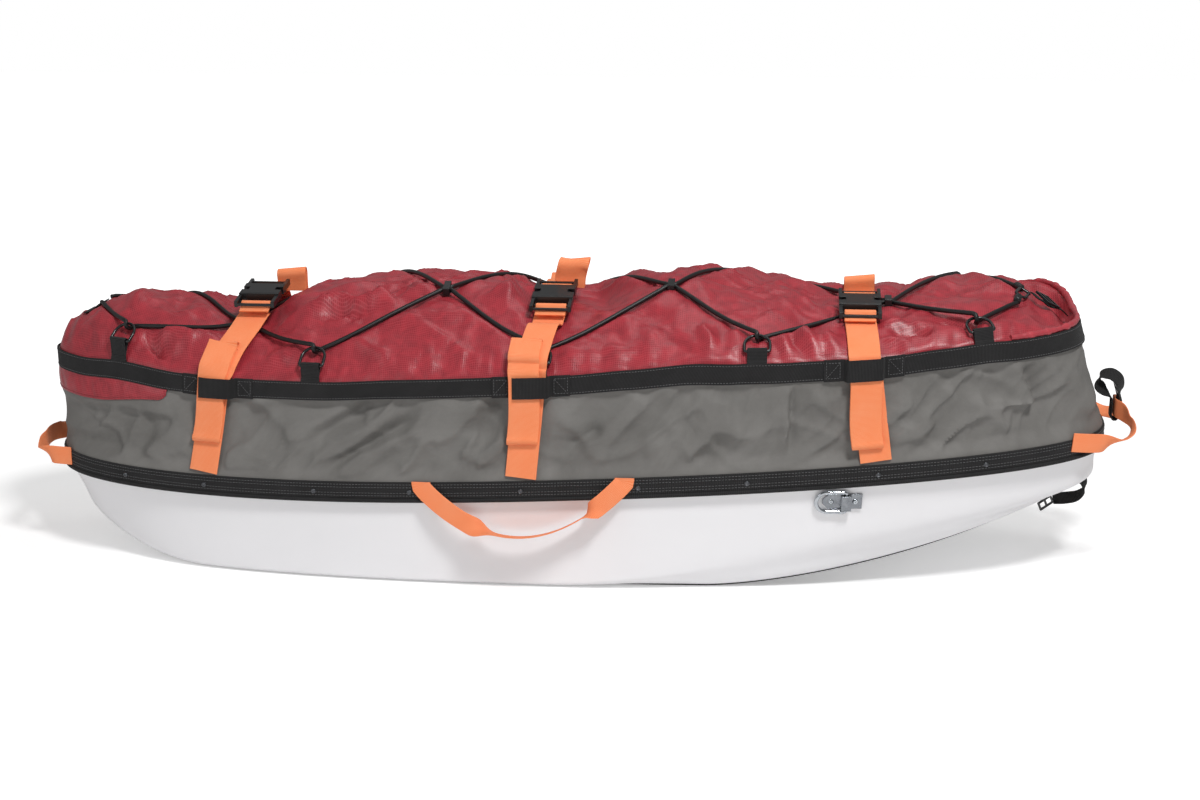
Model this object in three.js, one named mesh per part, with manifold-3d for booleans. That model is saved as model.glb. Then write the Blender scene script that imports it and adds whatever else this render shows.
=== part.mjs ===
// Expedition pulk sled: a moulded tub on two runners, with a cloth skirt riveted round its rim,
// a cover over the load space, a laced bungee, three load straps, four carry handles and two tow rings.
// Millimetres. +X is the nose, +Y the sled's left side, +Z up. The runners stand on z = 0.
import * as THREE from 'three';
import { mergeVertices } from 'three/addons/utils/BufferGeometryUtils.js';
import Module from 'manifold-3d';

// Overall sizes
const halfLength = 712;
const halfWidth = 213;
const hullDepth = 151;
const skirtDepth = 136;
const wallCount = 36;
const seatGap = 0.3;
const fineGap = 0.5;

// Materials
function paint(color, roughness, metalness) {
  return new THREE.MeshStandardMaterial({ color, roughness, metalness });
}
const whiteShell = paint(0xf1eff1, 0.45, 0);
const blackPlastic = paint(0x1d1e20, 0.35, 0);
const blackWebbing = paint(0x2b2b2c, 0.85, 0);
const greyCloth = paint(0x62615e, 0.8, 0);
const redCloth = paint(0x9b2f38, 0.6, 0);
const orangeWebbing = paint(0xfb8f5c, 0.75, 0);
const blackCord = paint(0x242425, 0.7, 0);
const zincSteel = paint(0xc9ccd0, 0.25, 1);

const sled = new THREE.Group();
sled.name = 'pulk_sled';

function vec(x, y, z) {
  return new THREE.Vector3(x, y, z);
}

function lerp(a, b, share) {
  return a + (b - a) * share;
}

function smoothShare(low, high, value) {
  return THREE.MathUtils.smoothstep(value, low, high);
}

// Six times the signed volume: negative when the faces point in.
function signedVolume(geometry) {
  const points = geometry.attributes.position;
  const index = geometry.index;
  const a = vec(0, 0, 0);
  const b = vec(0, 0, 0);
  const c = vec(0, 0, 0);
  let sum = 0;
  for (let i = 0; i < index.count; i += 3) {
    a.fromBufferAttribute(points, index.getX(i));
    b.fromBufferAttribute(points, index.getX(i + 1));
    c.fromBufferAttribute(points, index.getX(i + 2));
    sum += a.dot(b.cross(c));
  }
  return sum;
}

function turnOut(geometry) {
  if (signedVolume(geometry) >= 0) return geometry;
  const index = geometry.index;
  for (let i = 0; i < index.count; i += 3) {
    const first = index.getX(i);
    index.setX(i, index.getX(i + 2));
    index.setX(i + 2, first);
  }
  return geometry;
}

// Skins a row of sections that all have as many points. ends: 'loop' joins the last section to
// the first, 'caps' closes both with a fan, 'open' leaves ends whose points meet in pairs. other
// says which faces are split along their other diagonal, so that layers twist alike.
function loft(sections, ends, other = () => false) {
  const size = sections[0].length;
  const positions = [];
  const faces = [];
  for (const section of sections) {
    for (const point of section) positions.push(point.x, point.y, point.z);
  }
  const rows = ends === 'loop' ? sections.length : sections.length - 1;
  for (let row = 0; row < rows; row += 1) {
    const here = row * size;
    const next = ((row + 1) % sections.length) * size;
    for (let i = 0; i < size; i += 1) {
      const j = (i + 1) % size;
      if (other(row, i)) {
        faces.push(here + i, here + j, next + i, here + j, next + j, next + i);
      } else {
        faces.push(here + i, here + j, next + j, here + i, next + j, next + i);
      }
    }
  }
  if (ends === 'caps') {
    const last = (sections.length - 1) * size;
    for (let i = 1; i < size - 1; i += 1) {
      faces.push(0, i + 1, i);
      faces.push(last, last + i, last + i + 1);
    }
  }
  const geometry = new THREE.BufferGeometry();
  geometry.setAttribute('position', new THREE.Float32BufferAttribute(positions, 3));
  geometry.setIndex(faces);
  return turnOut(dropFlat(mergeVertices(geometry, seatGap / 100)));
}

// Drops triangles whose corners were merged into one another.
function dropFlat(geometry) {
  const kept = [];
  const index = geometry.index;
  for (let i = 0; i < index.count; i += 3) {
    const corners = [index.getX(i), index.getX(i + 1), index.getX(i + 2)];
    if (new Set(corners).size === 3) kept.push(...corners);
  }
  geometry.setIndex(kept);
  return geometry;
}

function addPiece(name, geometry, material) {
  const mesh = new THREE.Mesh(geometry, material);
  mesh.name = name;
  sled.add(mesh);
  return mesh;
}

// Booleans
const wasm = await Module();
wasm.setup();

function toSolid(geometry) {
  const bare = geometry.clone();
  bare.deleteAttribute('normal');
  bare.deleteAttribute('uv');
  const merged = mergeVertices(bare, seatGap / 100);
  return new wasm.Manifold(new wasm.Mesh({
    numProp: 3,
    vertProperties: new Float32Array(merged.attributes.position.array),
    triVerts: new Uint32Array(merged.index.array),
  }));
}

function toGeometry(solid) {
  const mesh = solid.getMesh();
  const geometry = new THREE.BufferGeometry();
  geometry.setAttribute('position', new THREE.Float32BufferAttribute(mesh.vertProperties, 3));
  geometry.setIndex(Array.from(mesh.triVerts));
  return geometry;
}

function joinAll(solids) {
  return solids.reduce((all, next) => all.add(next));
}

function block(sizeX, sizeY, sizeZ, x, y, z) {
  return toSolid(new THREE.BoxGeometry(sizeX, sizeY, sizeZ).translate(x, y, z));
}

// A bar of round section bent along places.
function wire(places, radius, facets, ends) {
  const count = places.length;
  let side = vec(0, 0, 0);
  const sections = places.map((place, i) => {
    const ahead = ends === 'loop' ? places[(i + 1) % count] : places[Math.min(i + 1, count - 1)];
    const behind = ends === 'loop' ? places[(i + count - 1) % count] : places[Math.max(i - 1, 0)];
    const run = ahead.clone().sub(behind).normalize();
    if (i === 0) side = run.clone().cross(Math.abs(run.z) < 0.9 ? vec(0, 0, 1) : vec(0, 1, 0)).normalize();
    side = side.clone().addScaledVector(run, -side.dot(run)).normalize();
    const top = run.clone().cross(side);
    return Array.from({ length: facets }, (unused, j) => {
      const turn = 2 * Math.PI * (j + 0.5) / facets;
      return place.clone()
        .addScaledVector(side, radius * Math.cos(turn))
        .addScaledVector(top, radius * Math.sin(turn));
    });
  });
  return loft(sections, ends);
}

// Plan outlines: superellipses with one roundness at the nose and one at the stern.
const rimPlan = { nose: halfLength, stern: halfLength, half: halfWidth, noseRound: 2.75, sternRound: 2.63 };
const hemNoseSetback = 41;
const hemSternOverhang = 11;
const hemInset = 2;
const hemPlan = {
  nose: halfLength - hemNoseSetback,
  stern: halfLength + hemSternOverhang,
  half: halfWidth - hemInset,
  noseRound: 3.36,
  sternRound: 1.97,
};
const bottomNoseSetback = 57;
const bottomSternSetback = 92;
const bottomInset = 48;
const bottomPlan = {
  nose: halfLength - bottomNoseSetback,
  stern: halfLength - bottomSternSetback,
  half: halfWidth - bottomInset,
  noseRound: 2,
  sternRound: 2.6,
};
const chineNoseSetback = 12;
const chineSternSetback = 36;
const chineInset = 26;
const chinePlan = {
  nose: halfLength - chineNoseSetback,
  stern: halfLength - chineSternSetback,
  half: halfWidth - chineInset,
  noseRound: 2.5,
  sternRound: 2.6,
};

function grow(plan, offset) {
  return { ...plan, nose: plan.nose + offset, stern: plan.stern + offset, half: plan.half + offset };
}

function planPoint(plan, angle) {
  const cosine = Math.cos(angle);
  const sine = Math.sin(angle);
  const round = cosine >= 0 ? plan.noseRound : plan.sternRound;
  const reach = cosine >= 0 ? plan.nose : plan.stern;
  return vec(
    reach * Math.sign(cosine) * Math.abs(cosine) ** (2 / round),
    plan.half * Math.sign(sine) * Math.abs(sine) ** (2 / round),
    0,
  );
}

// Angles that step evenly round the rim, from the nose along one side to the stern and back.
function evenAngles() {
  const fine = 40;
  const samples = [];
  let length = 0;
  let last = planPoint(rimPlan, 0);
  for (let i = 0; i <= wallCount * fine; i += 1) {
    const angle = Math.PI * i / (wallCount * fine);
    const point = planPoint(rimPlan, angle);
    length += point.distanceTo(last);
    last = point;
    samples.push([length, angle]);
  }
  const half = [];
  let at = 0;
  for (let k = 0; k <= wallCount; k += 1) {
    const wanted = length * k / wallCount;
    while (at < samples.length - 1 && samples[at][0] < wanted) at += 1;
    half.push(samples[at][1]);
  }
  half[wallCount] = Math.PI;
  const back = half.slice(1, wallCount).reverse().map((angle) => -angle);
  return [...half, ...back];
}
const angles = evenAngles();

function planLoop(plan) {
  return angles.map((angle) => {
    const point = planPoint(plan, angle);
    if (angle === Math.PI || angle === 0) point.y = 0;
    return point;
  });
}

// Heights. Each follows the sled's length: a mid value, a tilt, a bow and a twist.
const runnerThick = 3;
const hullBase = runnerThick + seatGap;
const rimMid = hullBase + hullDepth;
const rimTilt = 39;
const rimBow = 20;
const rimTwist = -9.5;
const skirtTilt = 13.5;
const skirtTwist = -5;
const hemWave = 8;
const farNoseLift = 9;
const farLiftStartShare = 0.75;
const farLiftEndShare = 0.92;
const farLiftSideShare = 0.6;

function rimTop(x) {
  const u = x / halfLength;
  return rimMid + rimTilt * u + rimBow * u ** 2 + rimTwist * u ** 3;
}

// Hand-hung hem: [place along the half length, height] in shares of hemWave.
const hemWaveShares = [
  [-1.03, 0], [-0.94, 0.3], [-0.84, 0.95], [-0.7, 0.05], [-0.64, -0.2], [-0.5, -0.2], [-0.42, -0.25],
  [-0.28, 0.15], [-0.12, 0.2], [0.02, 0], [0.14, 0.35], [0.24, 0.7], [0.33, 0.2], [0.42, -0.15],
  [0.58, -0.45], [0.68, 0], [0.76, 0.25], [0.82, 0], [1.03, 0],
];

function tableValue(table, at) {
  if (at <= table[0][0]) return table[0][1];
  for (let i = 1; i < table.length; i += 1) {
    if (at <= table[i][0]) {
      const share = smoothShare(table[i - 1][0], table[i][0], at);
      return lerp(table[i - 1][1], table[i][1], share);
    }
  }
  return table[table.length - 1][1];
}

function hemTop(x, y) {
  const u = x / halfLength;
  const wave = hemWave * tableValue(hemWaveShares, u);
  const ahead = smoothShare(farLiftStartShare, farLiftEndShare, u);
  const left = smoothShare(0, farLiftSideShare, y / halfWidth);
  const lift = farNoseLift * ahead * left;
  return rimTop(x) + skirtDepth + skirtTilt * u + skirtTwist * u ** 3 + wave + lift;
}

// Hull bottom: flat amidships, swept up to the nose and turned up at the stern.
const noseRiseLength = 450;
const noseRiseSetback = 72;
const noseRiseEnd = halfLength - noseRiseSetback;
const noseRiseStart = noseRiseEnd - noseRiseLength;
const noseRise = 102;
const noseRisePower = 1.58;
const sternRiseLength = 150;
const sternRiseSetback = 72;
const sternRiseEnd = halfLength - sternRiseSetback;
const sternRiseStart = sternRiseEnd - sternRiseLength;
const sternRise = 43;
const sternRisePower = 2.2;

function keelHeight(x) {
  if (x > noseRiseStart) {
    return hullBase + noseRise * ((x - noseRiseStart) / noseRiseLength) ** noseRisePower;
  }
  if (x < -sternRiseStart) {
    return hullBase + sternRise * ((-x - sternRiseStart) / sternRiseLength) ** sternRisePower;
  }
  return hullBase;
}

// Chine: a low rounded corner that climbs towards the nose over a flat bilge panel.
const chineLow = 14;
const chineStart = 50;
const chineSoft = 60;
const chineSlopeShare = 0.178;
const sternChineRise = 38;
const sternChineLength = 176;
const sternChineStart = chinePlan.stern - sternChineLength;

function chineHeight(x) {
  const run = x - chineStart;
  const climb = 0.5 * (run + Math.hypot(run, chineSoft)) * chineSlopeShare;
  const tail = smoothShare(sternChineStart, chinePlan.stern, -x) * sternChineRise;
  return hullBase + chineLow + climb + tail;
}

// Tub shell
const hullWall = 4;
const rimFlare = 3;
const chineBulge = 7;
const bandHeight = 21.5;
const beadHeight = 6;
const bandThick = 2;
const beadThick = 4;
const rimReveal = 1.5;
const wallShare = 0.5;
const skirtThick = 1.2;
const floorShares = [0.4, 0.75];

function hullSkin(inward) {
  const rings = [];
  const floor = planLoop(grow(bottomPlan, -inward));
  const chine = planLoop(grow(chinePlan, -inward));
  const foot = planLoop(grow(rimPlan, -bandThick - beadThick - rimFlare - inward));
  const rim = planLoop(grow(rimPlan, -skirtThick - bandThick - 2 * seatGap - inward));
  rings.push(floor.map(() => vec(0, 0, hullBase + inward)));
  for (const share of floorShares) {
    rings.push(floor.map((p) => vec(p.x * share, p.y * share, keelHeight(p.x * share) + inward)));
  }
  rings.push(floor.map((p) => vec(p.x, p.y, keelHeight(p.x) + inward)));
  rings.push(floor.map((p, k) => {
    const q = chine[k];
    const round = chineBulge * (1 - smoothShare(0, chinePlan.nose / 2, p.x));
    const middle = p.clone().lerp(q, 0.5);
    middle.y += Math.sign(p.y) * round;
    middle.z = lerp(keelHeight(p.x), chineHeight(q.x), 0.5) - round + inward;
    return middle;
  }));
  rings.push(chine.map((p) => vec(p.x, p.y, chineHeight(p.x) + inward)));
  rings.push(chine.map((p, k) => {
    const q = foot[k];
    const middle = p.clone().lerp(q, wallShare);
    middle.z = lerp(chineHeight(p.x), rimTop(q.x) - bandHeight - beadHeight, wallShare);
    return middle;
  }));
  rings.push(foot.map((p) => vec(p.x, p.y, rimTop(p.x) - bandHeight - beadHeight - rimFlare)));
  rings.push(rim.map((p) => vec(p.x, p.y, rimTop(p.x) - bandHeight)));
  rings.push(rim.map((p) => vec(p.x, p.y, rimTop(p.x) - rimReveal)));
  return rings;
}

function makeHull() {
  const outside = hullSkin(0);
  const inside = hullSkin(hullWall).reverse();
  return loft([...outside, ...inside], 'open');
}
addPiece('hull', makeHull(), whiteShell);

// Rim band: clamps the skirt to the hull all round and ends in a bead. [out from the plan, down].
const beadProud = 0.8;
const bandSection = [
  [0, 0],
  [0, bandHeight],
  [beadProud, bandHeight + beadProud],
  [beadProud, bandHeight + beadHeight],
  [beadProud - beadThick, bandHeight + beadHeight],
  [-bandThick, bandHeight],
  [-bandThick, 0],
];

function makeBand() {
  const loops = bandSection.map(([out]) => planLoop(grow(rimPlan, out)));
  return loft(angles.map((angle, k) => loops.map((loop, i) => {
    const { x, y } = loop[k];
    return vec(x, y, rimTop(x) - bandSection[i][1]);
  })), 'loop');
}
addPiece('rim_band', makeBand(), blackWebbing);

// The leaning wall between rim band and hem, at station k: share 0 is the rim's top, 1 the hem's,
// and offset is counted outwards from the faces of the rim band and the hem band.
function wallPoint(k, share, offset) {
  const low = planPoint(grow(rimPlan, offset), angles[k]);
  const high = planPoint(grow(hemPlan, offset), angles[k]);
  const point = low.clone().lerp(high, share);
  point.z = lerp(rimTop(low.x), hemTop(high.x, high.y), share);
  return point;
}

function wallLoop(share, offset) {
  return angles.map((angle, k) => wallPoint(k, share, offset));
}

// Skirt cloth: rises from behind the rim band to behind the hem, with soft slanting folds.
const skirtTuck = 16;
const foldCount = 11;
const foldDepth = 3.5;
const foldSlant = 0.9;
const foldEndShare = 0.8;
const foldAimShare = 0.3;
const hemHeight = 25;
const hemThick = 2;
const hemFootShare = 1 - hemHeight / skirtDepth;
const skirtTopShare = 1 - rimReveal / skirtDepth;
const skirtFace = -hemThick - seatGap;
const skirtShares = [0, 0.2, 0.4, 0.6, hemFootShare, skirtTopShare];

function skirtRing(share, inward) {
  return wallLoop(share, skirtFace - inward).map((p, k) => {
    const turn = 2 * Math.PI * (foldCount * k / angles.length + foldSlant * share);
    const ease = Math.sin(Math.PI * Math.min(share / foldEndShare, 1));
    const fold = foldDepth * ease * (1 + Math.sin(turn)) / 2;
    const across = vec(p.x * foldAimShare, p.y, 0).normalize();
    return p.addScaledVector(across, -fold);
  });
}

function makeSkirt() {
  const outside = skirtShares.map((share) => skirtRing(share, 0));
  const inside = skirtShares.map((share) => skirtRing(share, skirtThick));
  const hang = (ring) => ring.map((p) => vec(p.x, p.y, p.z - skirtTuck));
  return loft([hang(outside[0]), ...outside, ...inside.toReversed(), hang(inside[0])], 'loop');
}
addPiece('skirt', makeSkirt(), greyCloth);

// A strip on the wall, from one share of its height to another, its outer face at the offset.
function wallHoop(lowShare, highShare, offset, thick) {
  const loops = [
    wallLoop(highShare, offset),
    wallLoop(lowShare, offset),
    wallLoop(lowShare, offset - thick),
    wallLoop(highShare, offset - thick),
  ];
  return loft(angles.map((angle, k) => loops.map((loop) => loop[k])), 'loop');
}

// Cover cloth over the load: crown height over the hem, [place along the half length, height in
// shares of coverRise]. It dips under each strap and swells between them.
const coverRise = 103;
const coverThick = 1.2;
const coverRound = 2.4;
const coverTuck = 14;
const spineInset = 60;
const clothGap = 0.6;
const coverFace = skirtFace - skirtThick - clothGap;
const coverPlan = grow(hemPlan, coverFace);
const coverFootShare = 1 - coverTuck / skirtDepth;
const crownShares = [
  [-1.01, 0.02], [-0.985, 0.24], [-0.95, 0.44], [-0.9, 0.62], [-0.82, 0.72], [-0.73, 0.7], [-0.64, 0.52],
  [-0.57, 0.64], [-0.47, 0.92], [-0.33, 0.98], [-0.23, 1], [-0.14, 0.88], [-0.04, 0.66], [0.04, 0.66],
  [0.13, 0.78], [0.21, 0.81], [0.29, 0.71], [0.37, 0.6], [0.47, 0.42], [0.55, 0.38], [0.63, 0.41],
  [0.7, 0.42], [0.78, 0.41], [0.83, 0.34], [0.88, 0.12], [0.92, -0.12], [0.937, 0],
];

function coverHalf(x) {
  const reach = x >= 0 ? coverPlan.nose : coverPlan.stern;
  const round = x >= 0 ? coverPlan.noseRound : coverPlan.sternRound;
  return coverPlan.half * Math.max(1 - Math.abs(x / reach) ** round, 0) ** (1 / round);
}

function coverHeight(x, y) {
  const half = coverHalf(x);
  const share = half > fineGap ? Math.min(Math.abs(y) / half, 1) : 1;
  const rise = coverRise * tableValue(crownShares, x / halfLength);
  return hemTop(x, y) + rise * (1 - share ** coverRound);
}

function coverNormal(x, y) {
  const step = 2 * hemThick;
  const slopeX = (coverHeight(x + step, y) - coverHeight(x - step, y)) / (2 * step);
  const slopeY = (coverHeight(x, y + step) - coverHeight(x, y - step)) / (2 * step);
  return vec(-slopeX, -slopeY, 1).normalize();
}

const coverShares = [1, 0.9, 0.76, 0.58, 0.38, 0.18, 0];

function coverRing(share, inward) {
  return planLoop(grow(coverPlan, -inward)).map((p) => {
    const squeeze = 1 - (1 - share) * spineInset / halfLength;
    const x = p.x * squeeze;
    const y = p.y * share;
    const height = share === 1 ? hemTop(p.x, p.y) : coverHeight(x, y);
    return vec(x, y, height - inward);
  });
}

function makeCover() {
  const outside = coverShares.map((share) => coverRing(share, 0)).reverse();
  const inside = coverShares.map((share) => coverRing(share, coverThick));
  const foot = wallLoop(coverFootShare, coverFace);
  const footInside = wallLoop(coverFootShare, coverFace - coverThick);
  return loft([...outside, foot, footInside, ...inside], 'open');
}

// Rolled edge of the cover round the nose, on top of its edge.
const rollStart = 0.815;
const rollRadius = 3.6;
const rollFacets = 6;
const rollLift = 3;
const rollFace = coverFace - fineGap;

function makeRoll() {
  const top = wallLoop(1, rollFace);
  const ahead = top.map((p, k) => k).filter((k) => top[k].x > rollStart * halfLength);
  const order = [...ahead.filter((k) => k > wallCount), ...ahead.filter((k) => k <= wallCount)];
  const places = order.map((k) => vec(top[k].x, top[k].y, top[k].z + rollLift));
  return wire(places, rollRadius, rollFacets, 'caps');
}
const coverMesh = toGeometry(toSolid(makeCover()).add(toSolid(makeRoll())));
addPiece('cover', coverMesh, redCloth);

// Height of the cover's facets, looked up by place. A facet that faces down is left out.
function facets(geometry) {
  const { position } = geometry.attributes;
  const corners = Array.from(geometry.index.array, (i) => {
    return vec(position.getX(i), position.getY(i), position.getZ(i));
  });
  const list = [];
  for (let i = 0; i < corners.length; i += 3) {
    const [a, b, c] = corners.slice(i, i + 3);
    const area = (b.x - a.x) * (c.y - a.y) - (c.x - a.x) * (b.y - a.y);
    if (area > 0) list.push({ a, b, c, area });
  }
  return list;
}
const coverFacets = facets(coverMesh);

function facetHeight(x, y) {
  let best = coverHeight(x, y);
  for (const { a, b, c, area } of coverFacets) {
    const u = ((b.x - x) * (c.y - y) - (c.x - x) * (b.y - y)) / area;
    const v = ((c.x - x) * (a.y - y) - (a.x - x) * (c.y - y)) / area;
    if (u >= 0 && v >= 0 && u + v <= 1) best = Math.max(best, u * a.z + v * b.z + (1 - u - v) * c.z);
  }
  return best;
}

// A point over the cover: lift is measured square to the cloth. A wide thing clears the cloth at
// its edges too: spread is half its width along the sled.
function overCover(x, y, lift, spread = 0) {
  const shifts = [-spread, -spread / 2, 0, spread / 2, spread];
  const highest = Math.max(...shifts.map((dx) => facetHeight(x + dx, y)));
  return vec(x, y, highest).addScaledVector(coverNormal(x, y), lift);
}

// Runners: strips along both edges of the flat bottom, up to where it sweeps to the nose.
const runnerWidth = 20;
const runnerInset = 6;
const runnerFrontShare = 0.93;
const runnerRearShare = 0.9;
const runnerSteps = 26;

function bottomHalf(x) {
  const reach = x >= 0 ? bottomPlan.nose : bottomPlan.stern;
  const round = x >= 0 ? bottomPlan.noseRound : bottomPlan.sternRound;
  return bottomPlan.half * Math.max(1 - Math.abs(x / reach) ** round, 0) ** (1 / round);
}

function makeRunner(side) {
  const sections = [];
  for (let i = 0; i <= runnerSteps; i += 1) {
    const rearX = -bottomPlan.stern * runnerRearShare;
    const x = lerp(rearX, bottomPlan.nose * runnerFrontShare, i / runnerSteps);
    const outer = bottomHalf(x) - runnerInset;
    const inner = outer - runnerWidth;
    const top = keelHeight(x) - seatGap;
    const low = keelHeight(x) - seatGap - runnerThick;
    sections.push([
      vec(x, side * outer, top),
      vec(x, side * inner, top),
      vec(x, side * inner, low),
      vec(x, side * outer, low),
    ]);
  }
  return loft(sections, 'caps');
}
const sides = [['right', -1], ['left', 1]];
for (const [name, side] of sides) {
  addPiece(`runner_${name}`, makeRunner(side), blackPlastic);
}

// The wall at a place along the sled: side is -1 on the right and 1 on the left. out points
// away from the sled, along points to the nose.
function loopAt(loop, x, side) {
  const turn = (k) => loop[side > 0 ? k : (loop.length - k) % loop.length];
  for (let k = 0; k < wallCount; k += 1) {
    const ahead = turn(k);
    const behind = turn(k + 1);
    if (ahead.x >= x && behind.x <= x) {
      const share = (ahead.x - x) / (ahead.x - behind.x);
      const point = ahead.clone().lerp(behind, share);
      const along = ahead.clone().sub(behind).normalize();
      const out = vec(-along.y * side, along.x * side, 0).normalize();
      return { point, along, out };
    }
  }
  throw new Error('no wall there');
}

function wallAt(x, side, share, offset) {
  return loopAt(wallLoop(share, offset), x, side);
}

// Along a flat strip: the direction of its width and of its face at each place. The face is as
// long as the mitre at a bend needs, so that layers stay evenly apart.
const sharpestMitreShare = 0.8;

function stripFrames(places, across, ends) {
  const count = places.length;
  return places.map((place, i) => {
    const ahead = ends === 'loop' ? places[(i + 1) % count] : places[Math.min(i + 1, count - 1)];
    const behind = ends === 'loop' ? places[(i + count - 1) % count] : places[Math.max(i - 1, 0)];
    const run = ahead.clone().sub(behind).normalize();
    const side = across[i].clone().addScaledVector(run, -across[i].dot(run)).normalize();
    const into = place.distanceTo(behind) > 0 ? place.clone().sub(behind).normalize() : run;
    const mitre = 1 / Math.max(into.dot(run), sharpestMitreShare);
    return { place, run, side, face: run.clone().cross(side).multiplyScalar(mitre) };
  });
}

function stripSection(place, side, face, width, thick) {
  return [[1, 1], [-1, 1], [-1, -1], [1, -1]].map(([s, f]) => place.clone()
    .addScaledVector(side, s * width / 2)
    .addScaledVector(face, f * thick / 2));
}

// The corners of a strip's section are its front pair and then its back pair.
function isBack(i) {
  return i > 1;
}

// A flat strip. places is its middle line and across the direction of its width at each place.
function strip(places, across, width, thick, ends) {
  const frames = stripFrames(places, across, ends);
  const sections = frames.map((f) => stripSection(f.place, f.side, f.face, width, thick));
  return loft(sections, ends, (row, i) => isBack(i));
}

// Load straps: foot, hem and top places along the sled in shares of the half length, the buckle's
// place across in shares of the half width, its rise over strapLift and 1 for a bump over a ring.
const strapWidth = 40;
const strapThick = 1.8;
const cordRadius = 3;
const cordGap = 2;
const strapLift = cordGap + 2 * cordRadius + fineGap;
const linkLift = 7;
const pullLift = 5;
const frontLift = 1;
const straps = [
  { name: 'rear', foot: -0.66, hem: -0.631, top: -0.583, across: -0.235, rise: linkLift, bump: 0 },
  { name: 'mid', foot: -0.062, hem: -0.042, top: -0.02, across: -0.41, rise: pullLift, bump: 1 },
  { name: 'front', foot: 0.572, hem: 0.545, top: 0.538, across: -0.45, rise: frontLift, bump: 0 },
];
const strapFootShare = 0.035;
const strapFace = skirtFace + 2 * fineGap + strapThick / 2;
const strapHemFace = 3 * fineGap + strapThick / 2;

// Places of a strap up the wall: [share of the wall, share of the way out over the hem].
const wallSteps = [
  [strapFootShare, 0], [0.25, 0], [0.45, 0.1], [0.64, 0.6], [0.77, 1], [0.88, 1], [0.985, 1],
];

function strapOnWall(strap, side) {
  return wallSteps.map(([share, outShare]) => {
    const x = halfLength * lerp(strap.foot, strap.hem, share);
    const { point, along, out } = wallAt(x, side, share, 0);
    point.addScaledVector(out, lerp(strapFace, strapHemFace, outShare));
    return { place: point, across: along, out };
  });
}

// The buckle's seat: up runs across the sled to its left, face is square to the cover.
function buckleSeat(strap) {
  const x = strap.top * halfLength;
  const y = strap.across * halfWidth;
  const face = coverNormal(x, y);
  face.x = 0;
  face.normalize();
  const wide = vec(1, 0, 0);
  const up = face.clone().cross(wide).normalize();
  const origin = overCover(x, y, 0, buckle.half).addScaledVector(face, strapLift + strap.rise);
  return { origin, wide, up, face };
}

function onSeat(seat, w, u, n) {
  return seat.origin.clone()
    .addScaledVector(seat.wide, w)
    .addScaledVector(seat.up, u)
    .addScaledVector(seat.face, n);
}

// Places of a strap from the hem's top over the cover to yEnd. Close to the hem the strap is low,
// or high where it crosses a ring: [distance from the hem in strap widths, height in strapLift].
const tabThick = 1.6;
const tabStack = 2 * (tabThick + 5 * fineGap);
const plainClimb = [[0.12, 0.5], [0.36, 0.8], [0.75, 1], [1.3, 1]];
const nearClimb = [[0.1, 1.3], [0.24, 2.2], [0.45, 2.6], [1.42, 2.6], [1.85, 1.1]];
const farClimb = [[0.1, 1.3], [0.24, 2.2], [0.45, 2.6], [2.1, 2.8], [2.9, 1.2]];
const coverSteps = 5;
const cornerShare = 0.8;
const slantEndShare = 0.8;

function strapOnCover(strap, side, yEnd) {
  const hemX = strap.hem * halfLength;
  const topX = strap.top * halfLength;
  const { point, along, out } = wallAt(hemX, side, 1, 0);
  const corner = point.clone().addScaledVector(out, strapHemFace * cornerShare);
  corner.z += strapHemFace * cornerShare + strap.bump * tabStack;
  const places = [{ place: corner, across: along, out }];
  const edge = Math.abs(point.y);
  const span = edge - side * yEnd;
  const ringClimb = side < 0 ? nearClimb : farClimb;
  const climb = strap.bump ? ringClimb : plainClimb;
  const last = climb[climb.length - 1][0] * strapWidth;
  const add = (distance, rise) => {
    const share = distance / span;
    const x = lerp(hemX, topX, smoothShare(0, slantEndShare, share));
    const lift = lerp(rise, strapLift + strap.rise, smoothShare(last, span, distance));
    const y = side * (edge - distance);
    const up = coverNormal(x, y).setX(0).normalize();
    const place = overCover(x, y, 0, strapWidth / 2).addScaledVector(up, lift + strapThick / 2);
    places.push({ place, across: vec(1, 0, 0), out: up });
  };
  for (const [widths, lifts] of climb) {
    if (widths * strapWidth < span) add(widths * strapWidth, lifts * strapLift);
  }
  for (let i = 1; i <= coverSteps; i += 1) {
    if (last < span) add(lerp(last, span, i / coverSteps), strapLift);
  }
  return places;
}

function stripOf(route, width, thick) {
  return strip(route.map((r) => r.place), route.map((r) => r.across), width, thick, 'caps');
}

// Side-release buckle, along its up direction from its middle: plug frame below, socket above.
const railWide = 4.6;
const webbingRoom = 2.4;
const buckleHalf = strapWidth / 2 + webbingRoom + railWide;
const armInset = 5.4;
const armWide = 9.1;
const buckle = {
  half: buckleHalf,
  low: 3.2,
  thick: 10.6,
  rail: railWide,
  barWide: 4,
  barThick: 3.2,
  barLow: 4.8,
  plugEnd: -45,
  plugBar: -32,
  plugRoot: -20,
  rootWide: 3.4,
  socketStart: -16.2,
  socketEnd: 21,
  socketBar: 32,
  frameEnd: 45,
  wall: 2,
  cavityDepth: 31,
  windowLow: -3,
  windowHigh: 7,
  windowDeep: 9,
  prongHalf: 3,
  armInner: buckleHalf - armInset - armWide,
  armOuter: buckleHalf - armInset,
  prongEnd: 10,
};

function seatBlock(wLow, wHigh, uLow, uHigh, nLow, nHigh) {
  return block(
    wHigh - wLow,
    uHigh - uLow,
    nHigh - nLow,
    (wLow + wHigh) / 2,
    (uLow + uHigh) / 2,
    (nLow + nHigh) / 2,
  );
}

function placeOnSeat(geometry, seat) {
  const matrix = new THREE.Matrix4().makeBasis(seat.wide, seat.up, seat.face).setPosition(seat.origin);
  return turnOut(geometry.applyMatrix4(matrix));
}

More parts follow.
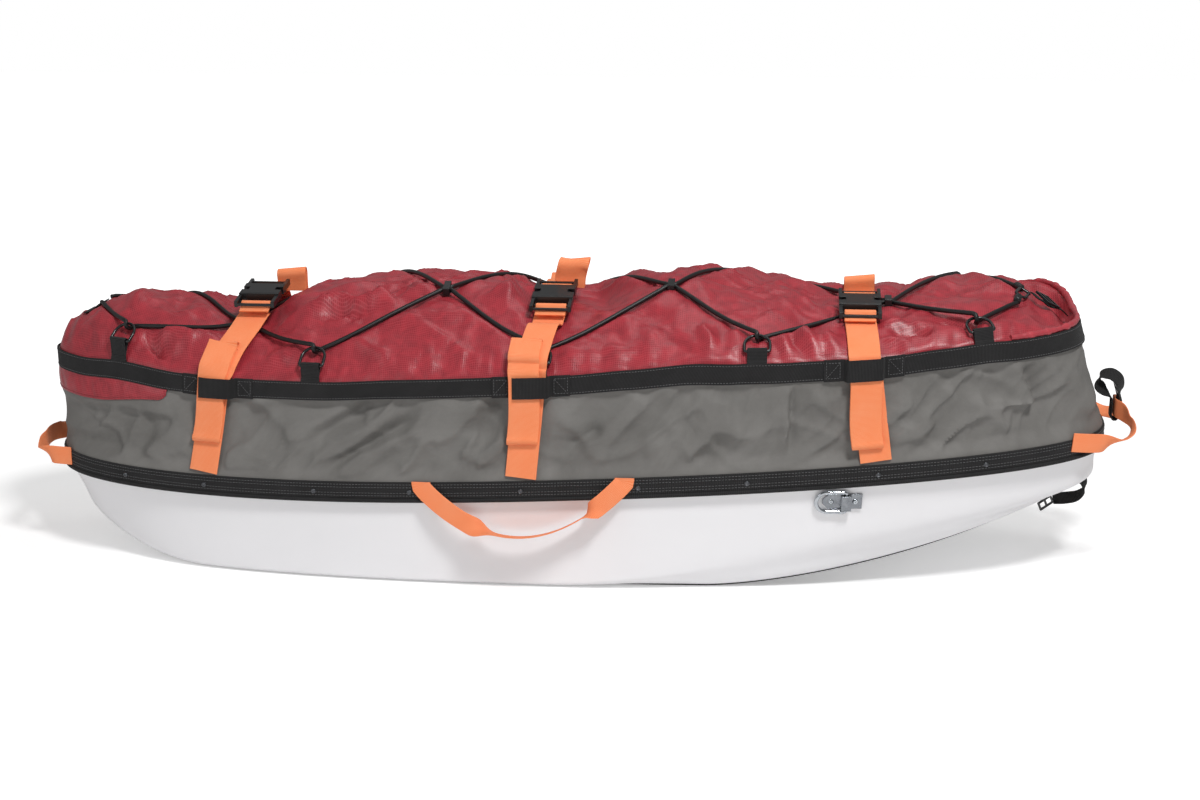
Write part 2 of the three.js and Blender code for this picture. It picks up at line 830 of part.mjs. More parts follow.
// Two rails, an end bar and an inner bar that webbing turns round.
function ladder(startU, endU, barU) {
  const b = buckle;
  const top = b.low + b.thick;
  const sign = Math.sign(endU - startU);
  const low = Math.min(startU, endU);
  const high = Math.max(startU, endU);
  const bar = (edge) => {
    const from = Math.min(edge, edge - sign * b.barWide);
    return seatBlock(-b.half, b.half, from, from + b.barWide, b.barLow, b.barLow + b.barThick);
  };
  return [
    seatBlock(-b.half, -b.half + b.rail, low, high, b.low, top - b.wall),
    seatBlock(b.half - b.rail, b.half, low, high, b.low, top - b.wall),
    bar(endU),
    bar(barU + sign * b.barWide / 2),
  ];
}

function makePlug(seat) {
  const b = buckle;
  const low = b.low + b.wall + fineGap;
  const high = b.low + b.thick - b.wall - fineGap;
  const root = seatBlock(-b.half, b.half, b.plugRoot, b.plugRoot + b.rootWide, b.low, b.low + b.thick);
  const guide = seatBlock(-b.prongHalf, b.prongHalf, b.plugRoot, b.prongEnd, low, high);
  const arms = [-1, 1].map((side) => {
    const outline = new THREE.Shape([
      new THREE.Vector2(side * b.armInner, b.plugRoot),
      new THREE.Vector2(side * (b.armInner + b.prongHalf), b.plugRoot),
      new THREE.Vector2(side * (b.armOuter - b.prongHalf), b.windowLow),
      new THREE.Vector2(side * b.armOuter, b.windowLow + b.wall),
      new THREE.Vector2(side * b.armOuter, b.windowHigh - b.wall),
      new THREE.Vector2(side * (b.armInner + b.prongHalf), b.prongEnd),
      new THREE.Vector2(side * b.armInner, b.prongEnd - b.wall),
    ]);
    const arm = new THREE.ExtrudeGeometry(outline, { depth: high - low, bevelEnabled: false });
    return toSolid(arm.translate(0, 0, low));
  });
  const solid = joinAll([root, guide, ...arms, ...ladder(b.plugRoot, b.plugEnd, b.plugBar)]);
  return placeOnSeat(toGeometry(solid), seat);
}

function makeSocket(seat) {
  const b = buckle;
  const top = b.low + b.thick;
  const body = seatBlock(-b.half, b.half, b.socketStart, b.socketEnd, b.low, top);
  const cavity = seatBlock(
    -b.armOuter - fineGap,
    b.armOuter + fineGap,
    b.socketStart - b.wall,
    b.socketStart + b.cavityDepth,
    b.low + b.wall,
    top - b.wall,
  );
  const windows = [-1, 1].map((side) => seatBlock(
    Math.min(side * b.half * 2, side * (b.half - b.windowDeep)),
    Math.max(side * b.half * 2, side * (b.half - b.windowDeep)),
    b.windowLow,
    b.windowHigh,
    b.low - b.wall,
    top + b.wall,
  ));
  const hollow = windows.reduce((solid, window) => solid.subtract(window), body.subtract(cavity));
  const solid = joinAll([hollow, ...ladder(b.socketEnd, b.frameEnd, b.socketBar)]);
  return placeOnSeat(toGeometry(solid), seat);
}

// Webbing turned round a buckle's inner bar: [along the seat, over the seat].
function webbingTurn(sign, bar, end) {
  const b = buckle;
  const under = b.barLow - fineGap - strapThick / 2;
  const over = b.barLow + b.barThick + fineGap + strapThick / 2;
  const reach = b.barWide / 2 + strapThick;
  return [
    [end + sign * b.barWide, under - strapThick],
    [end - sign * b.barWide / 2, under],
    [bar + sign * (reach + b.barWide), under],
    [bar + sign * reach, (under + over) / 2 + strapThick / 2],
    [bar + sign * b.barWide / 2, over],
    [bar - sign * b.barWide / 2, over],
    [bar - sign * reach, (under + over) / 2 + strapThick / 2],
    [bar - sign * (reach + strapThick / 2), under],
  ];
}

const webbingHalf = buckle.half - buckle.rail - fineGap;

for (const strap of straps) {
  const seat = buckleSeat(strap);
  addPiece(`buckle_plug_${strap.name}`, makePlug(seat), blackPlastic);
  addPiece(`buckle_socket_${strap.name}`, makeSocket(seat), blackPlastic);
  const turn = webbingTurn(-1, buckle.plugBar, buckle.plugEnd);
  const turnPlaces = turn.map(([u, n]) => onSeat(seat, 0, u, n));
  addPiece(`plug_webbing_${strap.name}`, strip(
    turnPlaces,
    turnPlaces.map(() => seat.wide),
    Math.min(strapWidth, 2 * webbingHalf),
    strapThick,
    'caps',
  ), orangeWebbing);

  const nearEnd = seat.origin.y + buckle.plugRoot - buckle.barWide;
  const near = [...strapOnWall(strap, -1), ...strapOnCover(strap, -1, nearEnd)];
  addPiece(`strap_right_${strap.name}`, stripOf(near, strapWidth, strapThick), orangeWebbing);
  strap.near = near;
  strap.seat = seat;

  const farEnd = seat.origin.y + buckle.frameEnd + 2 * buckle.barWide;
  const socketTurn = webbingTurn(1, buckle.socketBar, buckle.frameEnd)
    .map(([u, n]) => ({ place: onSeat(seat, 0, u, n), across: vec(1, 0, 0) }));
  const far = [...strapOnWall(strap, 1), ...strapOnCover(strap, 1, farEnd), ...socketTurn];
  strap.far = stripOf(far, strapWidth, strapThick);
  strap.farTop = far[far.length - socketTurn.length - 1].place;
}

// Stern panel: a red piece low on the skirt round the stern, under the hem.
const panelFront = -0.725;
const panelFootShare = 0.62;
const panelTopShare = hemFootShare - fineGap / skirtDepth;

function makeSternPanel() {
  const panelX = panelFront * halfLength;
  const stations = angles.map((angle, k) => k).filter((k) => wallPoint(k, 1, 0).x < panelX);
  const outer = skirtFace + seatGap + skirtThick;
  const rings = [
    wallLoop(panelTopShare, outer),
    wallLoop(panelFootShare, outer),
    wallLoop(panelFootShare, outer - skirtThick),
    wallLoop(panelTopShare, outer - skirtThick),
  ];
  return loft(stations.map((k) => rings.map((ring) => ring[k])), 'caps');
}
addPiece('stern_panel', makeSternPanel(), redCloth);

// Keepers: webbing on the hem that arches over a strap. [distance from its middle in shares of its
// half length, share of the arch's height].
const keeperHalf = 50;
const keeperThick = 1.6;
const keeperSteps = [
  [-1, 0], [-0.58, 0], [-0.45, 1], [-0.2, 1], [0.2, 1], [0.45, 1], [0.58, 0], [1, 0],
];
const tailLayer = strapThick + 2 * seatGap;

function makeKeeper(strap, side) {
  const layers = side < 0 ? 2 : 0;
  const arch = strapHemFace + strapThick / 2 + layers * tailLayer + 4 * fineGap;
  const sections = keeperSteps.map(([share, rise]) => {
    const x = strap.hem * halfLength + share * keeperHalf;
    const inner = lerp(-fineGap, arch, rise);
    const outer = inner + keeperThick;
    return [[1, inner], [1, outer], [hemFootShare, outer], [hemFootShare, inner]].map(([level, offset]) => {
      const { point, out } = wallAt(x, side, level, 0);
      return point.addScaledVector(out, offset);
    });
  });
  return loft(sections, 'caps');
}
const hemParts = [wallHoop(hemFootShare, 1, 0, hemThick)];
for (const [, side] of sides) hemParts.push(...straps.map((strap) => makeKeeper(strap, side)));

function stepsOf(route) {
  return route.slice(1).map((r, i) => r.place.distanceTo(route[i].place));
}

// Where along a route a distance falls: a whole step and a share of it.
function findStep(steps, distance) {
  let left = distance;
  for (let i = 0; i < steps.length; i += 1) {
    if (left <= steps[i]) return i + left / steps[i];
    left -= steps[i];
  }
  return steps.length;
}

function frameAt(frames, step) {
  const i = Math.min(Math.floor(step), frames.length - 2);
  const mix = (key) => frames[i][key].clone().lerp(frames[i + 1][key], step - i);
  return {
    place: mix('place'),
    run: mix('run').normalize(),
    side: mix('side').normalize(),
    face: mix('face'),
  };
}

// Strap tails: the loose end, folded in two layers on its strap and tucked under the keeper.
// from and to are distances from the strap's foot in shares of the skirt's depth.
const tails = {
  rear: { from: 0.33, to: 1.29 },
  mid: { from: 0.36, to: 1.36 },
  front: { from: 0.16, to: 0.96 },
};

function makeTail(strap) {
  const frames = stripFrames(strap.near.map((r) => r.place), strap.near.map((r) => r.across), 'caps');
  const steps = stepsOf(strap.near);
  const from = findStep(steps, tails[strap.name].from * skirtDepth);
  const to = findStep(steps, tails[strap.name].to * skirtDepth);
  const between = strap.near.map((r, i) => i).filter((i) => i > from + seatGap && i < to - seatGap);
  const along = [from, ...between, to].map((step) => frameAt(frames, step));
  const outward = frames[0].face.dot(strap.near[0].out) < 0 ? -1 : 1;
  const layer = (f, level, turned) => stripSection(
    f.place.clone().addScaledVector(f.face, outward * level),
    f.side,
    f.face.clone().multiplyScalar(turned * outward),
    strapWidth,
    strapThick,
  );
  const roll = (f, sign) => stripSection(
    f.place.clone()
      .addScaledVector(f.face, outward * 1.5 * tailLayer)
      .addScaledVector(f.run, sign * strapThick),
    f.side,
    f.run.clone().multiplyScalar(sign),
    strapWidth,
    strapThick,
  );
  return loft([
    ...along.map((f) => layer(f, 2 * tailLayer, 1)),
    roll(along[along.length - 1], 1),
    ...along.toReversed().map((f) => layer(f, tailLayer, -1)),
    roll(along[0], -1),
  ], 'loop', (row, i) => isBack(i) === (row < along.length));
}

// Standing loops of the left straps' spare webbing behind the buckles: [along the far strap,
// height] in shares of the loop's height.
const loopShares = [
  [0.05, 0.03], [0.02, 0.4], [-0.08, 0.8], [0.02, 1], [0.2, 0.98], [0.3, 0.75], [0.32, 0.35], [0.36, 0.03],
];
const loops = {
  rear: { height: 33, shift: 18 },
  mid: { height: 38, shift: 14 },
  front: { height: 26, shift: 0 },
};

function makeLoop(strap) {
  const { height, shift } = loops[strap.name];
  const foot = strap.farTop.clone().add(vec(shift, 0, strapThick - fineGap - loopShares[0][1] * height));
  const places = loopShares.map(([along, up]) => foot.clone().add(vec(0, along * height, up * height)));
  return strip(places, places.map(() => vec(1, 0, 0)), strapWidth, strapThick, 'loop');
}

for (const strap of straps) {
  addPiece(`strap_tail_${strap.name}`, makeTail(strap), orangeWebbing);
  const far = toSolid(strap.far).add(toSolid(makeLoop(strap)));
  addPiece(`strap_left_${strap.name}`, toGeometry(far), orangeWebbing);
}

// Rings on the cover's edge: a wire D held by a webbing tab, in shares of the half length.
const ringShares = [-0.841, -0.45, -0.031, 0.358, 0.754];
const ringHalf = 16;
const ringLength = 28;
const ringWire = 2;
const ringStart = 11;
const ringLift = 9.8;
const ringFacets = 6;
const tabWidth = 25;
const tabAngles = [-90, -35, 20, 75, 120];
const arcSteps = 6;

function ringSeat(share, side) {
  const x = share * halfLength;
  const { point, along, out } = wallAt(x, side, 1, -hemThick);
  const on = (t) => overCover(point.x - out.x * t, point.y - out.y * t, ringLift, ringHalf);
  const bar = on(ringStart);
  const end = on(ringStart + ringLength);
  const reach = end.clone().sub(bar).normalize();
  return { bar, reach, along, out, point };
}

// A D: its straight bar along one direction and its bow reaching out along the other.
function bowShape(bar, along, reach, half, length, radius) {
  const places = [-1, 1].map((s) => bar.clone().addScaledVector(along, s * half));
  for (let i = 0; i <= arcSteps; i += 1) {
    const turn = Math.PI * i / arcSteps;
    places.push(bar.clone()
      .addScaledVector(along, half * Math.cos(turn))
      .addScaledVector(reach, length - half + half * Math.sin(turn)));
  }
  return wire(places, radius, ringFacets, 'loop');
}

// Tab: webbing from the hem round the ring's bar and back to the hem.
function makeTab(seat) {
  const turn = ringWire + seatGap + tabThick / 2 + 2 * seatGap;
  const up = seat.reach.clone().cross(seat.along).normalize();
  if (up.z < 0) up.negate();
  const around = tabAngles.map((degrees) => {
    const angle = THREE.MathUtils.degToRad(degrees);
    return seat.bar.clone()
      .addScaledVector(seat.reach, turn * Math.cos(angle))
      .addScaledVector(up, turn * Math.sin(angle));
  });
  const foot = seat.point.clone().addScaledVector(seat.out, hemThick / 2);
  const low = foot.clone();
  low.z += tabThick / 2 - fineGap;
  const high = foot.clone().addScaledVector(seat.out, -hemThick);
  high.z += 3 * tabThick / 2 + fineGap;
  const places = [low, ...around, high];
  return strip(places, places.map(() => seat.along), tabWidth, tabThick, 'caps');
}

for (const [name, side] of sides) {
  ringShares.forEach((share, i) => {
    const seat = ringSeat(share, side);
    const ring = bowShape(seat.bar, seat.along, seat.reach, ringHalf, ringLength, ringWire);
    addPiece(`cord_ring_${name}_${i + 1}`, ring, blackPlastic);
    hemParts.push(makeTab(seat));
  });
}
const hem = joinAll(hemParts.map((geometry) => toSolid(turnOut(geometry))));
addPiece('hem_band', toGeometry(hem), blackWebbing);

// Elastic cords: from the rear tab through ring, link, ring and so on to the sleeve. Links along
// the middle: [place along the half length, place across the half width].
const linkShares = [[-0.604, -0.37], [-0.22, -0.4], [0.197, -0.4], [0.592, -0.31]];
const linkSplit = 5;
const linkLong = 9;
const linkRise = 7;
const cordRest = cordRadius + 2 * fineGap;
const cordFacets = 6;
const cordStep = 21;
const wrapAngles = [90, 45, 0, -45, -90];
const rearTab = [-0.912, 0.09];
const sleeveSpot = [0.8184, -0.377];
const sleeveSpotLeft = [0.8278, -0.01];

const ringClear = 22;
const ringFall = 3;
const fallPower = 1.8;

function linkSeat([along, across]) {
  const x = along * halfLength;
  const y = across * halfWidth;
  const face = coverNormal(x, y);
  face.x = 0;
  face.normalize();
  return {
    wide: vec(1, 0, 0),
    up: face.clone().cross(vec(1, 0, 0)).normalize(),
    face,
    origin: overCover(x, y, linkRise, linkLong / 2),
  };
}

// Points of a cord on the cover between two places. It falls evenly to the middle of the way.
function layCord(places, from, to) {
  const count = Math.max(Math.round(Math.hypot(to.x - from.x, to.y - from.y) / cordStep), 1);
  for (let i = 1; i < count; i += 1) {
    const share = i / count;
    const lift = lerp(from.lift, to.lift, share);
    const rest = lerp(cordRest, lift, Math.abs(1 - 2 * share) ** fallPower);
    places.push(overCover(lerp(from.x, to.x, share), lerp(from.y, to.y, share), Math.max(rest, cordRest)));
  }
}

// The cord's way round a ring's bow: over the wire, round it and back under it.
function wrapRing(ring, towards) {
  const around = (cordRadius + ringWire + seatGap) / Math.cos(Math.PI / 8) + seatGap;
  const { reach } = ring;
  const bow = ring.bar.clone().addScaledVector(reach, ringLength);
  const up = reach.clone().cross(ring.along).normalize();
  if (up.z < 0) up.negate();
  const places = wrapAngles.map((degrees, j) => {
    const angle = THREE.MathUtils.degToRad(degrees);
    return bow.clone()
      .addScaledVector(reach, -around * Math.cos(angle))
      .addScaledVector(up, around * Math.sin(angle))
      .add(vec((j - 2) * 2 * fineGap, 0, 0));
  });
  const away = towards.map(([x, y], i) => {
    const start = places[i ? wrapAngles.length - 1 : 0];
    const way = vec(x - start.x, y - start.y, 0).normalize();
    way.addScaledVector(up, -way.dot(up)).normalize();
    return start.clone().addScaledVector(way, ringClear).addScaledVector(up, i ? 0 : -ringFall);
  });
  return [away[0], ...places, away[1]];
}

function makeCord(side) {
  const seats = linkShares.map((share) => linkSeat(share));
  const start = { x: rearTab[0] * halfLength, y: side * rearTab[1] * halfWidth, lift: cordRest + fineGap };
  const [endX, endY] = side < 0 ? sleeveSpot : sleeveSpotLeft;
  const end = { x: endX * halfLength, y: endY * halfWidth, lift: cordRest + fineGap };
  const stops = [start, ...seats.map((seat) => onSeat(seat, 0, side * linkSplit, 0)), end];
  const places = [overCover(start.x, start.y, start.lift)];
  let last = start;
  ringShares.forEach((share, i) => {
    const ring = ringSeat(share, side);
    const round = wrapRing(ring, [[stops[i].x, stops[i].y], [stops[i + 1].x, stops[i + 1].y]]);
    const lift = ringLift + cordRadius + ringWire - ringFall;
    layCord(places, last, { x: round[0].x, y: round[0].y, lift });
    places.push(...round);
    const off = round[round.length - 1];
    last = { x: off.x, y: off.y, lift: cordRest };
    if (i < seats.length) {
      const enter = onSeat(seats[i], -linkLong, side * linkSplit, 0);
      const leave = onSeat(seats[i], linkLong, side * linkSplit, 0);
      layCord(places, last, { x: enter.x, y: enter.y, lift: linkRise });
      places.push(enter, leave);
      last = { x: leave.x, y: leave.y, lift: linkRise };
    }
  });
  layCord(places, last, end);
  places.push(overCover(end.x, end.y, end.lift));
  return wire(places, cordRadius, cordFacets, 'caps');
}
for (const [name, side] of sides) {
  addPiece(`bungee_${name}`, makeCord(side), blackCord);
}

// Cord links: a block with two holes, the cords run through it along the sled.
const linkWall = 2.2;
const linkHole = cordRadius + fineGap;

function makeLink(spot) {
  const seat = linkSeat(spot);
  const half = linkSplit + linkHole + linkWall;
  const deep = linkHole + linkWall;
  const body = seatBlock(-linkLong / 2, linkLong / 2, -half, half, -deep, deep);
  const holes = [-1, 1].map((s) => seatBlock(
    -linkLong,
    linkLong,
    s * linkSplit - linkHole,
    s * linkSplit + linkHole,
    -linkHole,
    linkHole,
  ));
  return placeOnSeat(toGeometry(holes.reduce((solid, hole) => solid.subtract(hole), body)), seat);
}
linkShares.forEach((spot, i) => addPiece(`cord_link_${i + 1}`, makeLink(spot), blackPlastic));

// Side handles: webbing hung from two places on the rim band, turned edge-on at its lowest part.
const handleWidth = 25;
const handleThick = 1.3;
const handleEnds = [-0.243, 0.126];
const handleDropShare = 0.44;
const handleStart = 5;
const handleSteps = 16;
const handleSwing = 7;
const handleEndFace = handleThick / 2 + fineGap;
const edgeOnShares = [0.12, 0.42, 0.62, 0.92];

function hangHandle(ends, side, drop) {
  const band = planLoop(rimPlan);
  const places = [];
  const outs = [];
  for (let i = 0; i <= handleSteps; i += 1) {
    const share = i / handleSteps;
    const x = lerp(ends[0] * halfLength, ends[1] * halfLength, share);
    const { point, out } = loopAt(band, x, side);
    const swing = Math.sqrt(Math.sin(Math.PI * share)) || 0;
    point.addScaledVector(out, handleEndFace + handleSwing * swing);
    point.z = rimTop(x) - handleStart - drop * 4 * share * (1 - share);
    places.push(point);
    outs.push(out);
  }
  const across = places.map((place, i) => {
    const share = i / handleSteps;
    const run = places[Math.min(i + 1, handleSteps)].clone().sub(places[Math.max(i - 1, 0)]).normalize();
    const flat = run.clone().cross(outs[i]).normalize();
    const [start, full, easing, end] = edgeOnShares;
    const turn = smoothShare(start, full, share) * (1 - smoothShare(easing, end, share));
    return flat.lerp(outs[i], turn).normalize();
  });
  return strip(places, across, handleWidth, handleThick, 'caps');
}
for (const [name, side] of sides) {
  addPiece(`side_handle_${name}`, hangHandle(handleEnds, side, handleDropShare * hullDepth), orangeWebbing);
}

// Smooth places through a few set ones, each in shares of the half length, the half width and the
// hull's depth.
function throughSpots(spots, count) {
  const points = spots.map(([x, y, z]) => vec(x * halfLength, y * halfWidth, z * hullDepth));
  return new THREE.CatmullRomCurve3(points).getPoints(count);
}

// Rear handle: a loop of webbing round the stern, on edge.
const rearHandleSpots = [
  [-0.985, -0.44, 0.9], [-1.003, -0.4, 0.9], [-1.025, -0.28, 0.9], [-1.042, -0.12, 0.9], [-1.046, 0, 0.91],
  [-1.042, 0.12, 0.9], [-1.025, 0.28, 0.9], [-1.003, 0.4, 0.9], [-0.985, 0.44, 0.9],
];

function seatEnds(places, side) {
  const end = planLoop(rimPlan).filter((p) => p.x * side > halfLength / 2);
  end.sort((p, q) => p.y - q.y);
  for (const i of [0, places.length - 1]) {
    const { y } = places[i];
    const k = end.findIndex((p) => p.y > y);
    const low = end[k - 1];
    const high = end[k];
    const point = low.clone().lerp(high, (y - low.y) / (high.y - low.y));
    const out = vec(high.y - low.y, low.x - high.x, 0).multiplyScalar(side).normalize();
    places[i].set(point.x, point.y, places[i].z).addScaledVector(out, handleEndFace);
  }
  return places;
}

function loopHandle(spots, count, side) {
  const places = seatEnds(throughSpots(spots, count), side);
  return strip(places, places.map(() => vec(0, 0, 1)), handleWidth, handleThick, 'caps');
}
addPiece('rear_handle', loopHandle(rearHandleSpots, 18, -1), orangeWebbing);

// Front handle: from the band on one side of the nose, out, up through its lock and back down.
const frontHalf = [
  [0.936, -0.55, 1.305], [0.97, -0.49, 1.28], [1.008, -0.41, 1.265], [1.037, -0.31, 1.29],
  [1.045, -0.2, 1.35], [1.034, -0.12, 1.42], [1.021, -0.055, 1.45], [1.021, 0, 1.45],
];
const otherHalf = frontHalf.slice(0, -1).toReversed().map(([x, y, z]) => [x, -y, z]);
const frontHandleSpots = [...frontHalf, ...otherHalf];
addPiece('front_handle', loopHandle(frontHandleSpots, 24, 1), orangeWebbing);

// Ladder-lock: a frame with three bars. seat: wide is its width, up its length.
const lock = { half: 16, length: 22, deep: 3, rail: 3, bar: 3 };

function makeLock(seat) {
  const reach = lock.length / 2;
  const body = seatBlock(-lock.half, lock.half, -reach, reach, -lock.deep / 2, lock.deep / 2);
  const open = reach - lock.bar;
  const holes = [[-open, -lock.bar / 2], [lock.bar / 2, open]].map(([low, high]) => seatBlock(
    -lock.half + lock.rail,
    lock.half - lock.rail,
    low,
    high,
    -lock.deep,
    lock.deep,
  ));
  return placeOnSeat(toGeometry(holes.reduce((solid, hole) => solid.subtract(hole), body)), seat);
}

function seatFrom(origin, wide, up) {
  return { origin, wide, up, face: wide.clone().cross(up).normalize() };
}

// Front handle's hanger: a closed loop of webbing from the skirt at the nose round the handle, with
// its lock in front. [along the half length, up in hull depths].
const hangerSpots = [
  [1.0258, 1.36], [1.0258, 1.53], [1.014, 1.64], [0.991, 1.735], [0.984, 1.715],
  [1.004, 1.61], [1.0145, 1.53],
  [1.0145, 1.36], [1.021, 1.335],
];
const hanger = hangerSpots.map(([x, z]) => vec(x * halfLength, 0, z * hullDepth));
addPiece('front_handle_hanger', strip(
  hanger,
  hanger.map(() => vec(0, 1, 0)),
  handleWidth,
  handleThick,
  'loop',
), blackWebbing);
const hangerLockSpot = [1.0255, 1.585];
const hangerLockWay = [-0.3, 1];

function endLock([x, z], [ahead, up]) {
  const place = vec(halfLength * x, 0, hullDepth * z);
  return makeLock(seatFrom(place, vec(0, 1, 0), vec(ahead, 0, up).normalize()));
}
addPiece('front_handle_lock', endLock(hangerLockSpot, hangerLockWay), blackPlastic);

// Nose strap: webbing that hangs under the nose, with its lock.
const noseSpots = [[0.958, 0.815], [0.957, 0.76], [0.945, 0.68], [0.925, 0.61], [0.917, 0.585]];
const noseStrap = noseSpots.map(([x, z]) => vec(x * halfLength, 0, z * hullDepth));
const noseAcross = noseStrap.map(() => vec(0, 1, 0));
addPiece('nose_strap', strip(noseStrap, noseAcross, handleWidth, tabThick, 'caps'), blackWebbing);
const noseLockSpot = [0.9042, 0.539];
const noseLockWay = [0.8, 0.6];
addPiece('nose_lock', endLock(noseLockSpot, noseLockWay), blackPlastic);

// Where the cords end. Rear tab under both starts, sleeves crimped on both ends, a hook between
// them and the webbing with its lock that pulls the hook to the nose.
const tabSpots = [-0.919, -0.93, -0.94, -0.951];
const rearTabHalf = 22;
const rearTabLift = 2.72;
const tabPlaces = tabSpots.map((x) => overCover(x * halfLength, 0, rearTabLift));
const tabAcross = tabPlaces.map(() => vec(0, 1, 0));
addPiece('rear_cord_tab', strip(tabPlaces, tabAcross, 2 * rearTabHalf, tabThick, 'caps'), blackWebbing);

const sleeveRadius = 5;
const sleeveLift = sleeveRadius + 2 * fineGap;
const sleeveEnds = [
  [[0.8187, -0.3685], [0.825, -0.284]],
  [[0.8285, -0.02], [0.834, -0.1035]],
];
sides.forEach(([name], i) => addPiece(`cord_sleeve_${name}`, wire(
  sleeveEnds[i].map(([x, y]) => overCover(x * halfLength, y * halfWidth, sleeveLift)),
  sleeveRadius,
  cordFacets,
  'caps',
), blackPlastic));

const hookWire = 2;
const hookHalf = 7;
const hookLift = 5.4;
const hookBar = overCover(0.8385 * halfLength, -0.125 * halfWidth, hookLift);
const hookEnd = overCover(0.8275 * halfLength, -0.262 * halfWidth, hookLift);
const hookReach = hookEnd.clone().sub(hookBar);
const hookLength = hookReach.length();
hookReach.normalize();
const hookAlong = hookReach.clone().cross(coverNormal(hookBar.x, hookBar.y)).normalize();
const hookShape = bowShape(hookBar, hookAlong, hookReach, hookHalf, hookLength, hookWire);
addPiece('cord_hook', hookShape, blackPlastic);

const frontSpots = [[0.8535, -0.184], [0.864, -0.16], [0.88, -0.125], [0.9, -0.08], [0.918, -0.04]];
const frontWidth = 20;
const frontPlaces = frontSpots.map(([x, y]) => {
  return overCover(x * halfLength, y * halfWidth, 2 * tabThick, frontWidth / 2);
});
const frontRun = frontPlaces[3].clone().sub(frontPlaces[0]).normalize();
const frontFace = coverNormal(frontPlaces[1].x, frontPlaces[1].y);
const frontAcross = frontFace.clone().cross(frontRun).normalize();
addPiece('front_webbing', strip(
  frontPlaces,
  frontPlaces.map(() => frontAcross),
  frontWidth,
  tabThick,
  'caps',
), blackWebbing);
const frontSeat = seatFrom(
  frontPlaces[2].clone().addScaledVector(frontFace, tabThick + lock.deep / 2 + fineGap),
  frontAcross,
  frontRun,
);
addPiece('front_lock', makeLock(frontSeat), blackPlastic);

// Tow bracket: a riveted plate with an arch over the bar of a D ring.
const towPlace = 0.5085;
const towHeightShare = 0.845;
const plateRear = 22;
const plateFront = 29;
const plateHalf = 11;
const plateChamfer = 8;
const plateThick = 2;
const archMiddle = 8;
const archHalf = 6.6;
const archThick = 1.6;
const towWire = 2.6;
const towHalf = 14.4;
const towLength = 38;
const towSeat = 3.8;

// The hull's side at a place and height: its plane, clear of the facets around.
function hullSide(x, height, side) {
  const rings = hullSkin(0).slice(-5, -2);
  const at = (place, level = height) => {
    const points = rings.map((ring) => loopAt(ring, place, side).point);
    const i = level > points[1].z ? 1 : 0;
    const share = (level - points[i].z) / (points[i + 1].z - points[i].z);
    return points[i].clone().lerp(points[i + 1], share);
  };
  const behind = at(x - plateRear);
  const ahead = at(x + plateFront);
  const wide = ahead.clone().sub(behind).normalize();
  const top = loopAt(rings[2], x, side).point;
  const low = loopAt(rings[1], x, side).point;
  const slope = top.sub(low).normalize();
  const up = slope.addScaledVector(wide, -slope.dot(wide)).normalize();
  const face = wide.clone().cross(up).normalize();
  if (face.y * side < 0) face.negate();
  const origin = at(x);
  let reach = 0;
  for (const place of [x - plateRear, x - plateRear / 2, x, x + plateFront / 2, x + plateFront]) {
    for (const level of [height - plateHalf, height, height + plateHalf]) {
      reach = Math.max(reach, at(place, level).sub(origin).dot(face));
    }
  }
  origin.addScaledVector(face, reach + 2 * seatGap);
  return { origin, wide, up, face };
}

function makePlate(seat) {
  const outline = new THREE.Shape([
    new THREE.Vector2(plateFront, -plateHalf),
    new THREE.Vector2(plateFront, plateHalf),
    new THREE.Vector2(-plateRear + plateChamfer, plateHalf),
    new THREE.Vector2(-plateRear, plateHalf - plateChamfer),
    new THREE.Vector2(-plateRear, plateChamfer - plateHalf),
    new THREE.Vector2(-plateRear + plateChamfer, -plateHalf),
  ]);
  const plate = toSolid(new THREE.ExtrudeGeometry(outline, { depth: plateThick, bevelEnabled: false }));
  const top = towSeat + towWire + 2 * seatGap;
  const archRear = archMiddle - archHalf;
  const archFront = archMiddle + archHalf;
  const arch = seatBlock(archRear, archFront, -plateHalf, plateHalf, 0, top + archThick);
  const inside = archHalf - archThick;
  const boreLow = archMiddle - inside;
  const boreHigh = archMiddle + inside;
  const bore = seatBlock(boreLow, boreHigh, -plateHalf * 2, plateHalf * 2, -plateThick, top);
  return placeOnSeat(toGeometry(plate.add(arch).subtract(bore)), seat);
}

for (const [name, side] of sides) {
  const seat = hullSide(towPlace * halfLength, towHeightShare * hullDepth + hullBase, side);
  addPiece(`tow_plate_${name}`, makePlate(seat), zincSteel);
  const bar = onSeat(seat, archMiddle, 0, towSeat);
  const rear = seat.wide.clone().negate();
  addPiece(`tow_ring_${name}`, bowShape(bar, seat.up, rear, towHalf, towLength, towWire), zincSteel);
}

export default sled;
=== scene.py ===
import math

import bmesh
import bpy
import numpy as np
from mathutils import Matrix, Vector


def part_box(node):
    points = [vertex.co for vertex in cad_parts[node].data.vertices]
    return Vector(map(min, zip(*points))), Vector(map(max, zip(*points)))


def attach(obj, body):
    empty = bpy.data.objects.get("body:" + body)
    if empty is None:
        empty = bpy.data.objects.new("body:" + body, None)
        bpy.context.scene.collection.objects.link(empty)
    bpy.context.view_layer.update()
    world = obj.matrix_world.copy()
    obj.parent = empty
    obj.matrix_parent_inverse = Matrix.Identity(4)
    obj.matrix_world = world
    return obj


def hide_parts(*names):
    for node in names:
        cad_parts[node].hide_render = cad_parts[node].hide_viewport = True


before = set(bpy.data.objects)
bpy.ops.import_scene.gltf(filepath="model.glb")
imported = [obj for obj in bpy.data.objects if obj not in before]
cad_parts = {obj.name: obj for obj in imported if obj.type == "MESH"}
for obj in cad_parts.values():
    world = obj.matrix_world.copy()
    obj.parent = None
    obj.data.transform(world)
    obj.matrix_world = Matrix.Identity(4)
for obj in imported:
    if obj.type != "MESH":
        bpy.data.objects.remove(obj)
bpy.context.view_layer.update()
scene = bpy.context.scene
